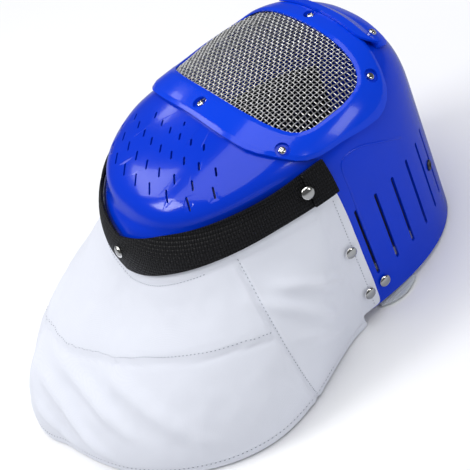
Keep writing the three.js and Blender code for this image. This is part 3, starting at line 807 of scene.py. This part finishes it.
@dataclass
class SidePaintedShadeLiner:
    """A thin near-black sheet inside a side wall, seen behind the louvres: painted shade for the shadowed inside of
    the shell, shaped as a lining cloth.
    """

    side: Side
    low_y: float = 3.0
    high_y: float = 105.0
    low_z: float = 34.0
    high_z: float = 100.0
    inset: float = 3.4
    thickness: float = 1.2

    def build(self, finishes: Finishes, shop: Workshop) -> bpy.types.Object:
        """Makes the painted-shade sheet against the wall's inner side."""
        bm = bmesh.new()
        bmesh.ops.create_grid(bm, x_segments=36, y_segments=18, size=0.5)
        for vert in bm.verts:
            y = self.low_y + (self.high_y - self.low_y) * (vert.co.x + 0.5)
            z = self.low_z + (self.high_z - self.low_z) * (vert.co.y + 0.5)
            wall = SURFACE.side_at(y, z, self.side)
            vert.co = SURFACE.placed(wall - SURFACE.outward(wall) * self.inset)
        for face in bm.faces:
            face.normal_update()
        outward = SURFACE.turned(Vector((float(self.side.value), 0.0, 0.0)))
        middle = sum((f.normal for f in bm.faces), Vector((0.0, 0.0, 0.0)))
        if middle.dot(outward) < 0.0:
            bmesh.ops.reverse_faces(bm, faces=bm.faces[:])
        bmesh.ops.solidify(bm, geom=bm.faces[:], thickness=self.thickness * MM)
        bmesh.ops.recalc_face_normals(bm, faces=bm.faces[:])
        name = "side_lining_" + self.side.name.lower()
        obj = shop.finish(name, bm, finishes.lining, "webbing_nylon")
        set_threads(obj.data, lambda p: (p.y, p.z))
        return obj


@dataclass
class WireWindow:
    """The window of plain-woven wires, one bar for each wire."""

    pitch: float = 3.1
    wire: float = 0.92
    lift: float = 0.1
    half_across: float = 92.0
    low: float = -34.0
    high: float = 88.0
    sides: int = 6

    def inside(self, tree: BVHTree, x: float, y: float) -> Optional[Vector]:
        """The sheet's own place above a point in plan, or nothing past its edge."""
        start = SURFACE.placed(Vector((x, y, 230.0)))
        hit, normal, _, _ = tree.ray_cast(start, SURFACE.turned(Vector((0.0, 0.0, -1.0))))
        if hit is None or normal.dot(SURFACE.turned(Vector((0.0, 0.0, 1.0)))) < 0.2:
            return None
        return hit

    def runs(self, tree: BVHTree, along_x: bool) -> List[List[Vector]]:
        """Every wire of one direction as its list of points.

        Args:
            tree: The window sheet's own faces.
            along_x: Whether the wires run across the face, or up it.

        Returns:
            One list of points for each wire.
        """
        wires: List[List[Vector]] = []
        spans = (self.low, self.high) if along_x else (-self.half_across, self.half_across)
        lengths = (-self.half_across, self.half_across) if along_x else (self.low, self.high)
        first = math.ceil(spans[0] / self.pitch)
        for index in range(first, int(spans[1] / self.pitch) + 1):
            run: List[Vector] = []
            steps = int((lengths[1] - lengths[0]) / (self.pitch / 4.0))
            for k in range(steps + 1):
                along = lengths[0] + k * self.pitch / 4.0
                fixed = index * self.pitch
                x, y = (along, fixed) if along_x else (fixed, along)
                place = self.inside(tree, x, y)
                if place is None:
                    if len(run) > 8:
                        wires.append(run)
                    run = []
                    continue
                local = SURFACE.unplaced(place)
                out = SURFACE.outward(local)
                phase = math.pi * along / self.pitch + (math.pi if index % 2 else 0.0)
                wave = math.cos(phase) * self.wire * 0.5
                side = wave if along_x else -wave
                run.append(SURFACE.placed(local + out * (side + self.lift - 0.6)))
            if len(run) > 8:
                wires.append(run)
        return wires

    def build(self, frame: Dict, finishes: Finishes, shop: Workshop) -> List[bpy.types.Object]:
        """Makes the two sets of wires and hides the plain sheet."""
        sheet = shop.merged(frame["nodes"]["face_mesh"])
        tree = BVHTree.FromBMesh(sheet)
        sheet.free()
        made: List[bpy.types.Object] = []
        for name, along_x in (("window_wires_across", True), ("window_wires_up", False)):
            bm = bmesh.new()
            for run in self.runs(tree, along_x):
                one = bmesh.new()
                sweep(one, run, [0.5 * self.wire * MM] * len(run), self.sides)
                part = bpy.data.meshes.new("wire")
                one.to_mesh(part)
                one.free()
                bm.from_mesh(part)
                bpy.data.meshes.remove(part)
            made.append(shop.finish(name, bm, finishes.wire, "mesh_steel"))
        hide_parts("face_mesh")
        return made


@dataclass
class Fastener:
    """A rivet or screw head on its own place and axis."""

    node: str
    at: Vector
    radius: float

    def frame(self, base: float) -> Matrix:
        """The head's own frame: Z out of the wall, at a height over the surface."""
        out = SURFACE.outward(self.at)
        turn = Vector((0.0, 0.0, 1.0)).rotation_difference(SURFACE.turned(out))
        return Matrix.Translation(SURFACE.placed(self.at + out * base)) @ turn.to_matrix().to_4x4()


def spun(bm: bmesh.types.BMesh, profile: Sequence[Tuple[float, float]], place: Matrix, steps: int) -> None:
    """Spins a profile of radius and height, in millimetres, round its own axis and places it.

    Args:
        bm: The mesh that gets the turned shape.
        profile: Radius and height pairs from the axis outwards and back to the axis.
        place: Where the shape goes.
        steps: How many steps a full turn has.
    """
    verts = [bm.verts.new((r * MM, 0.0, z * MM)) for r, z in profile]
    edges = [bm.edges.new(pair) for pair in zip(verts, verts[1:])]
    bmesh.ops.spin(
        bm,
        geom=verts + edges,
        cent=(0, 0, 0),
        axis=(0, 0, 1),
        angle=math.tau,
        steps=steps,
        use_merge=True,
    )
    bmesh.ops.remove_doubles(bm, verts=bm.verts[:], dist=1e-7)
    bmesh.ops.recalc_face_normals(bm, faces=bm.faces[:])
    bmesh.ops.transform(bm, matrix=place, verts=bm.verts[:])


@dataclass
class Rivet(Fastener):
    """A domed nickel cap rivet with its washer-like foot and its inner head."""

    base: float = 0.35
    inner: float = -3.6

    def build(self, finishes: Finishes, shop: Workshop) -> bpy.types.Object:
        """Makes the rivet and hides its node."""
        r, i = self.radius, self.inner - self.base
        profile = [
            (0.0, 2.0),
            (r * 0.3, 1.93),
            (r * 0.58, 1.68),
            (r * 0.8, 1.25),
            (r * 0.93, 0.75),
            (r * 0.99, 0.3),
            (r, 0.1),
            (r * 0.97, 0.0),
            (1.45, 0.0),
            (1.45, i),
            (r * 0.82, i),
            (r * 0.88, i - 0.2),
            (r * 0.8, i - 0.7),
            (r * 0.4, i - 0.95),
            (0.0, i - 1.0),
        ]
        bm = bmesh.new()
        spun(bm, profile, self.frame(self.base), 40)
        obj = shop.finish(self.node + "_cap", bm, finishes.nickel, "nickel")
        obj.data.set_sharp_from_angle(angle=math.radians(42))
        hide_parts(self.node)
        return obj


@dataclass
class CrossScrew(Fastener):
    """A pan-head screw with a cross recess."""

    base: float = 2.5

    def build(self, finishes: Finishes, shop: Workshop) -> bpy.types.Object:
        """Makes the screw, cuts its cross and hides its node."""
        r, b = self.radius, self.base
        profile = [
            (0.0, 2.05),
            (r * 0.45, 1.98),
            (r * 0.75, 1.7),
            (r * 0.92, 1.2),
            (r, 0.6),
            (r, 0.0),
            (1.45, 0.0),
            (1.45, -6.0 - b),
            (1.1, -6.5 - b),
            (0.0, -6.5 - b),
        ]
        bm = bmesh.new()
        spun(bm, profile, self.frame(b), 32)
        obj = shop.finish(self.node + "_head", bm, finishes.nickel, "nickel")
        cutter = bmesh.new()
        for quarter in (0.35, 0.35 + math.pi / 2):
            turn = Matrix.Rotation(quarter, 4, "Z")
            shape = Matrix.Diagonal((r * 1.25 * MM, 0.85 * MM, 2.2 * MM, 1.0))
            lifted = Matrix.Translation((0.0, 0.0, 2.05 * MM))
            place = self.frame(b) @ lifted @ turn @ shape
            bmesh.ops.create_cube(cutter, size=1.0, matrix=place)
        tool_mesh = bpy.data.meshes.new("cross_tool")
        cutter.to_mesh(tool_mesh)
        cutter.free()
        tool = bpy.data.objects.new("cross_tool", tool_mesh)
        bpy.context.scene.collection.objects.link(tool)
        cut = obj.modifiers.new("cross", "BOOLEAN")
        cut.operation = "DIFFERENCE"
        cut.solver = "EXACT"
        cut.use_self = True
        cut.object = tool
        shop.baked(obj)
        bpy.data.objects.remove(tool)
        obj.data.set_sharp_from_angle(angle=math.radians(38))
        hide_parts(self.node)
        return obj


# ---- soft pieces ----------------------------------------------------------------------------------------------


def set_threads(mesh: bpy.types.Mesh, lengths: Callable[[Vector], Tuple[float, float]]) -> None:
    """Stores two lengths in millimetres at every corner, for a weave that follows the piece.

    Args:
        mesh: The piece's mesh.
        lengths: Gives the length along and across at a place in the mask's frame.
    """
    layer = mesh.attributes.new("threads", "FLOAT_VECTOR", "POINT")
    for vert in mesh.vertices:
        along, across = lengths(SURFACE.unplaced(vert.co))
        layer.data[vert.index].vector = (along, across, 0.0)


@dataclass
class ChinWebbing:
    """The ribbed webbing band round the chin rim."""

    flat: Tuple[float, float] = (0.028, 0.47)

    def build(self, frame: Dict, finishes: Finishes, shop: Workshop) -> bpy.types.Object:
        """Makes the band and hides its node."""
        bm = shop.merged(frame["nodes"]["chin_webbing"])
        refiner = TrueRefiner(longest=4.0)
        refiner.divide(bm)
        obj = shop.finish("chin_webbing_band", bm, finishes.webbing, "webbing_nylon")
        refiner.shade(obj.data)
        set_threads(obj.data, lambda p: (math.atan2(p.y, p.x) * 108.0, p.z))
        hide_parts("chin_webbing")
        return obj


@dataclass
class BackStrap:
    """The pale elastic strap behind the head."""

    flat: Tuple[float, float] = (0.038, 0.276)

    def build(self, frame: Dict, finishes: Finishes, shop: Workshop) -> bpy.types.Object:
        """Makes the strap and hides its node."""
        bm = shop.merged(frame["nodes"]["back_strap"])
        bmesh.ops.join_triangles(
            bm,
            faces=bm.faces[:],
            angle_face_threshold=math.radians(60),
            angle_shape_threshold=math.radians(180),
        )
        obj = shop.finish("back_strap_elastic", bm, finishes.strap, "strap_elastic")
        soft = obj.modifiers.new("soft", "SUBSURF")
        soft.levels = soft.render_levels = 2
        shop.baked(obj)
        for poly in obj.data.polygons:
            poly.use_smooth = True
        set_threads(obj.data, lambda p: (p.y, p.x + p.z))
        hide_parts("back_strap")
        return obj


@dataclass(frozen=True)
class Fold:
    """A soft fold of the bib: a ridge between two places, in millimetres in the row's frame."""

    start: Tuple[float, float, float]
    end: Tuple[float, float, float]
    width: float
    height: float

    def rise(self, p: Vector, normal: Vector) -> float:
        """How far the fold lifts the cloth at a place with this normal."""
        a, b = Vector(self.start), Vector(self.end)
        line = b - a
        share = (p - a).dot(line) / line.length_squared
        if share < -0.35 or share > 1.35:
            return 0.0
        off = p - (a + line * share)
        if off.length > 60.0:
            return 0.0
        across = (off - normal * off.dot(normal)).length
        taper = smoothstep(share, -0.35, 0.2) * (1.0 - smoothstep(share, 0.75, 1.35))
        return self.height * taper * bell(across, self.width * 0.85)


@dataclass
class ThroatBib:
    """The padded cloth bib with its seams, stitches, hem and soft folds."""

    seam_normal: Tuple[float, float, float] = (-0.3653, -0.9298, -0.046)
    seam_offset: float = -23.38
    hem_height: float = 7.5
    stitch: float = 2.7
    flat: Tuple[float, float] = (0.64, 0.21)
    flat_area: float = 0.094
    levels: int = 3
    folds: Tuple[Fold, ...] = (
        Fold((-42.0, -150.0, 62.0), (48.0, -148.0, 40.0), 7.0, 5.4),
        Fold((-45.0, -168.0, 48.0), (40.0, -172.0, 20.0), 6.5, 4.8),
        Fold((-40.0, -184.0, 28.0), (10.0, -186.0, 10.0), 5.0, 3.0),
        Fold((20.0, -130.0, 64.0), (96.0, -112.0, 34.0), 9.0, 4.2),
        Fold((104.0, -20.0, 96.0), (124.0, 26.0, 50.0), 6.0, 3.9),
        Fold((112.0, 0.0, 100.0), (114.0, 44.0, 66.0), 5.5, 3.6),
        Fold((126.0, -10.0, 62.0), (122.0, 24.0, 30.0), 6.0, 3.3),
        Fold((-100.0, -20.0, 92.0), (-120.0, 26.0, 46.0), 7.0, 3.6),
        Fold((-96.0, -110.0, 66.0), (-60.0, -160.0, 26.0), 8.0, 4.5),
        Fold((-118.0, -66.0, 54.0), (-96.0, -128.0, 20.0), 7.0, 3.9),
    )

    def seam_height(self, x: float) -> float:
        """The height of the seam between the front panel's two parts, in millimetres."""
        left = smoothstep(-x, 58.0, 112.0)
        return 71.6 + 9.6 * math.tanh((x - 30.0) / 34.0) - 0.0124 * max(0.0, x - 100.0) ** 2 - 9.0 * left

    def side_distance(self, p: Vector) -> float:
        """The distance from the side panel's seam: below 0 on the side panel."""
        n = self.seam_normal
        return n[0] * abs(p.x) + n[1] * p.y + n[2] * p.z - self.seam_offset

    @staticmethod
    def webbing_low(x: float) -> float:
        """The webbing's lower edge over the mask's open back, in millimetres."""
        return 98.5 + 22.5 * min(1.0, (abs(x) / 84.0) ** 1.2)

    def relief(self, p: Vector, normal: Vector) -> float:
        """How far seams, hem, folds and slack move the cloth outwards at a place.

        Args:
            p: The place, in millimetres in the row's frame.
            normal: The cloth's normal there.

        Returns:
            The move along the normal, in millimetres.
        """
        side = self.side_distance(p)
        local = SURFACE.unplaced(p * MM)
        move = -1.2 * bell(side, 1.2) + 0.5 * bell(side - 3.4, 2.2) + 0.5 * bell(side + 3.4, 2.2)
        if side > 0.0:
            over = p.z - self.seam_height(p.x)
            share = smoothstep(side, 0.5, 4.0)
            move += share * (1.5 * smoothstep(over, -0.8, 0.6) * bell(max(0.0, over), 18.0))
            move -= share * 0.8 * bell(over - 2.4, 0.9)
            move -= share * 1.0 * bell(over + 1.2, 1.5)
        move -= 0.9 * bell(p.z - self.hem_height, 1.1)
        move += 0.3 * bell(p.z - 3.6, 2.4)
        if local.y < -22.0:
            under = local.z - self.webbing_low(local.x)
            move += 1.7 * bell(under + 3.4, 2.6) - 1.3 * bell(under + 7.6, 1.7)
        free = smoothstep(p.z, 2.0, 20.0) * (1.0 - smoothstep(local.z, 96.0, 112.0))
        free *= 1.0 - 0.6 * bell(side, 7.0)
        if side > 0.0:
            free *= 1.0 - 0.85 * bell(p.z - self.seam_height(p.x), 10.0)
        for fold in self.folds:
            move += free * fold.rise(p, normal)
        slack = noise.noise(p * 0.028) * 1.8 + noise.noise(p * 0.085 + Vector((7.0, 3.0, 1.0))) * 0.5
        return move + free * slack

    def cloth(self, frame: Dict, finishes: Finishes, shop: Workshop) -> bpy.types.Object:
        """Makes the bib's cloth from its node's form."""
        bm = shop.merged(frame["nodes"]["bib"])
        bmesh.ops.join_triangles(
            bm,
            faces=bm.faces[:],
            angle_face_threshold=math.radians(50),
            angle_shape_threshold=math.radians(180),
        )
        obj = shop.finish("throat_bib", bm, finishes.bib, "bib_cloth")
        soft = obj.modifiers.new("soft", "SUBSURF")
        soft.levels = soft.render_levels = self.levels
        shop.baked(obj)
        mesh = obj.data
        normals = [v.normal.copy() for v in mesh.vertices]
        for vert, normal in zip(mesh.vertices, normals):
            p = vert.co / MM
            away = Vector((p.x, p.y - 20.0, 40.0)).normalized()
            outer = smoothstep(normal.dot(away), -0.1, 0.25)
            near = SURFACE.height(SURFACE.unplaced(vert.co))
            free = smoothstep(near, 3.6, 7.0)
            lift = self.relief(p, normal) * outer
            vert.co = (p + normal * lift * max(free, 0.35)) * MM
        for poly in mesh.polygons:
            poly.use_smooth = True
        set_threads(mesh, lambda p: (math.atan2(p.y, p.x) * 115.0, p.z * 1.05 - 0.25 * p.y))
        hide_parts("bib")
        return obj

    def thread_lines(self, tree: BVHTree) -> List[List[Tuple[Vector, Vector]]]:
        """Finds each stitched line on the cloth.

        Args:
            tree: The cloth's own faces.

        Returns:
            One list of places and normals for each line.
        """
        lines: List[List[Tuple[Vector, Vector]]] = []

        def shoot(angle: float, height: Callable[[Vector], float], lift: float) -> Optional[Tuple[Vector, Vector]]:
            aim = Vector((math.cos(angle), math.sin(angle), 0.0))
            z = height(aim * 120.0)
            found = None
            for _ in range(4):
                start = (Vector((0.0, -10.0, z)) + aim * 320.0) * MM
                hit, normal, _, _ = tree.ray_cast(start, -aim)
                if hit is None:
                    return None
                found = (hit, normal)
                z = height(hit / MM) + lift
            return found

        def around(height: Callable[[Vector], float], low: float, high: float) -> List[Tuple[Vector, Vector]]:
            steps = [low + (high - low) * k / 420.0 for k in range(421)]
            return [f for f in (shoot(math.radians(a), height, 0.0) for a in steps) if f]

        seam = around(lambda p: self.seam_height(p.x) + 2.4, -178.0, -2.0)
        lines.append([f for f in seam if self.side_distance(f[0] / MM) > 1.5])
        lines.append(around(lambda p: self.hem_height, -186.0, 6.0))

        def under_web(p: Vector) -> float:
            local = SURFACE.unplaced(p * MM)
            target = Vector((local.x, local.y, self.webbing_low(local.x) - 8.0))
            return (SURFACE.placed(target) / MM).z

        low = around(under_web, -160.0, -20.0)
        lines.append([f for f in low if self.side_distance(f[0] / MM) > 1.5])
        for side in Side:
            diagonal: List[Tuple[Vector, Vector]] = []
            edge: List[Tuple[Vector, Vector]] = []
            n = Vector(self.seam_normal)
            aim = Vector((-n.y, n.x, 0.0)).normalized()
            for k in range(300):
                z = 128.0 - 118.0 * k / 299.0
                foot = Vector((n.x, n.y, 0.0)) * ((self.seam_offset - 1.7 - n.z * z) / (n.x**2 + n.y**2))
                start = foot + aim * 300.0 + Vector((0.0, 0.0, z))
                start.x *= side.value
                back = Vector((-aim.x * side.value, -aim.y, 0.0))
                hit, normal, _, _ = tree.ray_cast(start * MM, back)
                if hit is not None:
                    diagonal.append((hit, normal))
                place = SURFACE.placed(Vector((side.value * 180.0, -4.0, 118.0 - 112.0 * k / 299.0)))
                hit, normal, _, _ = tree.ray_cast(place, Vector((-side.value, 0.0, 0.0)))
                if hit is not None:
                    edge.append((hit, normal))
            lines.extend([diagonal, edge])
        return lines

    def stitches(self, cloth: bpy.types.Object, finishes: Finishes, shop: Workshop) -> bpy.types.Object:
        """Makes every stitch as a short thread half sunk in the cloth."""
        source = bmesh.new()
        source.from_mesh(cloth.data)
        tree = BVHTree.FromBMesh(source)
        source.free()
        bm = bmesh.new()
        for line in self.thread_lines(tree):
            walked, due = 0.0, self.stitch
            for (a, _), (b, normal) in zip(line, line[1:]):
                step = (b - a).length / MM
                if step > 12.0:
                    continue
                walked += step
                if walked < due:
                    continue
                due = walked + self.stitch
                along = (b - a).normalized()
                across = normal.cross(along).normalized()
                turn = Matrix((along, across, normal)).transposed().to_4x4()
                size = Matrix.Diagonal((0.82 * MM, 0.34 * MM, 0.3 * MM, 1.0))
                place = Matrix.Translation(b + normal * 0.05 * MM) @ turn @ size
                bmesh.ops.create_icosphere(bm, subdivisions=1, radius=1.0, matrix=place)
        return shop.finish("bib_stitches", bm, finishes.thread, "bib_cloth")

    def build(self, frame: Dict, finishes: Finishes, shop: Workshop) -> List[bpy.types.Object]:
        """Makes the cloth and its stitches."""
        cloth = self.cloth(frame, finishes, shop)
        thread = self.stitches(cloth, finishes, shop)
        return [cloth, thread]


# ---- the studio -----------------------------------------------------------------------------------------------


@dataclass
class Studio:
    """The pale floor, the soft lights and the camera."""

    camera_at: Tuple[float, float, float] = (0.7387, -0.18772, 0.71011)
    right: Tuple[float, float, float] = (0.54086, 0.74859, -0.38351)
    up: Tuple[float, float, float] = (-0.40055, 0.63017, 0.66516)
    lens: float = 96.24
    floor_size: float = 12.0

    def floor(self) -> None:
        """Lays the floor, pale to the camera and painted dark where glossy faces mirror it."""
        bm = bmesh.new()
        bmesh.ops.create_grid(bm, x_segments=1, y_segments=1, size=self.floor_size / 2)
        mesh = bpy.data.meshes.new("studio_floor")
        bm.to_mesh(mesh)
        bm.free()
        obj = bpy.data.objects.new("studio_floor", mesh)
        bpy.context.scene.collection.objects.link(obj)
        material = bpy.data.materials.new("pale_floor")
        material.use_nodes = True
        shader = material.node_tree.nodes["Principled BSDF"]
        shader.inputs["Roughness"].default_value = 0.9
        kit = NodeKit(material.node_tree)
        # Painted shade in reflections: glossy rays see the floor at 0.32 instead of 0.92, so the shell mirrors it
        # darker.
        path = kit.add("ShaderNodeLightPath")
        mix = kit.add("ShaderNodeMix", data_type="RGBA")
        kit.join(path.outputs["Is Glossy Ray"], mix.inputs["Factor"])
        mix.inputs[6].default_value = (0.92, 0.92, 0.93, 1.0)
        mix.inputs[7].default_value = (0.32, 0.33, 0.35, 1.0)
        kit.join(mix.outputs[2], shader.inputs["Base Color"])
        mesh.materials.append(material)

    def light(
        self,
        name: str,
        at: Tuple[float, float, float],
        size: float,
        power: float,
        mirrored_only: bool = False,
    ) -> None:
        """Hangs one soft light that faces the mask.

        Args:
            name: The light's name.
            at: Its place, in metres.
            size: The side of its square, in metres.
            power: Its power, in watts.
            mirrored_only: Whether it only shows in glossy faces, as a window across the room does.
        """
        data = bpy.data.lights.new(name, "AREA")
        data.size = size
        data.energy = power
        obj = bpy.data.objects.new(name, data)
        bpy.context.scene.collection.objects.link(obj)
        obj.location = at
        facing = (Vector((0.0, 0.0, 0.08)) - Vector(at)).normalized()
        obj.rotation_euler = facing.to_track_quat("-Z", "Y").to_euler()
        obj.visible_diffuse = not mirrored_only

    def world(self) -> None:
        """Fills the room with even pale light."""
        world = bpy.data.worlds.new("studio_room")
        world.use_nodes = True
        kit = NodeKit(world.node_tree)
        room = world.node_tree.nodes["Background"]
        room.inputs["Color"].default_value = (0.95, 0.97, 1.0, 1.0)
        path = kit.add("ShaderNodeLightPath")
        dark = kit.math("MULTIPLY", path.outputs["Is Glossy Ray"], -0.34)
        kit.join(kit.math("ADD", dark, 0.42), room.inputs["Strength"])
        bpy.context.scene.world = world

    def camera(self) -> None:
        """Places the camera."""
        data = bpy.data.cameras.new("camera")
        data.lens = self.lens
        data.sensor_width = 36.0
        obj = bpy.data.objects.new("camera", data)
        bpy.context.scene.collection.objects.link(obj)
        right = Vector(self.right).normalized()
        up = (Vector(self.up) - right * right.dot(Vector(self.up))).normalized()
        back = right.cross(up)
        turn = Matrix((right, up, back)).transposed().to_4x4()
        obj.matrix_world = Matrix.Translation(self.camera_at) @ turn
        bpy.context.scene.camera = obj

    def build(self) -> None:
        """Sets up the whole studio."""
        bpy.context.scene.view_settings.view_transform = "Standard"
        self.floor()
        self.world()
        self.light("key_softbox", (-0.55, -1.0, 1.35), 0.6, 11.0)
        self.light("top_softbox", (0.0, 0.1, 2.4), 2.4, 34.0)
        self.light("fill_softbox", (1.5, 0.9, 0.9), 0.5, 3.6)
        self.light("window_reflection", (-0.9, -0.36, 1.03), 0.42, 2.1, mirrored_only=True)
        self.light("high_window_reflection", (-1.144, 0.17, 0.838), 0.13, 0.2, mirrored_only=True)
        self.camera()


def node_place(node: bpy.types.Object) -> Vector:
    """The middle of a node's outer head, in millimetres in the mask's frame."""
    points = [SURFACE.unplaced(v.co) for v in node.data.vertices]
    top = max(SURFACE.height(p) for p in points)
    outer = [p for p in points if SURFACE.height(p) > top - 0.05]
    middle = sum(outer, Vector((0.0, 0.0, 0.0))) / len(outer)
    return middle - SURFACE.outward(middle) * SURFACE.height(middle)


def build_fasteners(frame: Dict, finishes: Finishes, shop: Workshop) -> None:
    """Makes a finished rivet, screw or eyelet for each small node of the frame.

    Args:
        frame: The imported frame.
        finishes: Every finish.
        shop: Where pieces are finished.
    """
    for name, node in frame["nodes"].items():
        if name.startswith(("rivet_", "screw_")):
            at = node_place(node)
            heights = [SURFACE.height(SURFACE.unplaced(v.co)) for v in node.data.vertices]
            if name.startswith("rivet_"):
                base, inner = max(heights) - CAP_HEIGHT, min(heights) + 1.0
                Rivet(node=name, at=at, radius=CAP_RADIUS, base=base, inner=inner).build(finishes, shop)
            else:
                base = max(heights) - HEAD_HEIGHT
                CrossScrew(node=name, at=at, radius=HEAD_RADIUS, base=base).build(finishes, shop)
        elif name.startswith("eyelet_"):
            bm = shop.merged(node)
            obj = shop.finish(name + "_ring", bm, finishes.dark_metal, "eyelet_metal")
            obj.data.set_sharp_from_angle(angle=math.radians(40))
            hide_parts(name)


def main() -> None:
    """Builds the mask piece by piece, then the studio."""
    logging.basicConfig(level=logging.INFO, format="%(name)s %(message)s")
    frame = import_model()
    finishes = Finishes.make()
    shop = Workshop()
    Moulding("helmet_shell", finishes.shell, "shell_plastic", TrueRefiner(4.0, 4)).build(frame, shop)
    Moulding("window_bezel", finishes.frame, "frame_plastic", TrueRefiner(3.0, 4)).build(frame, shop)
    Moulding("crown_plate", finishes.frame, "frame_plastic", TrueRefiner(3.0, 4)).build(frame, shop)
    for side in Side:
        PanelBead(side).build(finishes, shop)
        SidePaintedShadeLiner(side).build(finishes, shop)
    WireWindow().build(frame, finishes, shop)
    ChinWebbing().build(frame, finishes, shop)
    BackStrap().build(frame, finishes, shop)
    ThroatBib().build(frame, finishes, shop)
    build_fasteners(frame, finishes, shop)
    Studio().build()
    bpy.context.view_layer.update()
    LOG.info("%d pieces", len(shop.pieces))


if __name__ == "__main__":
    main()
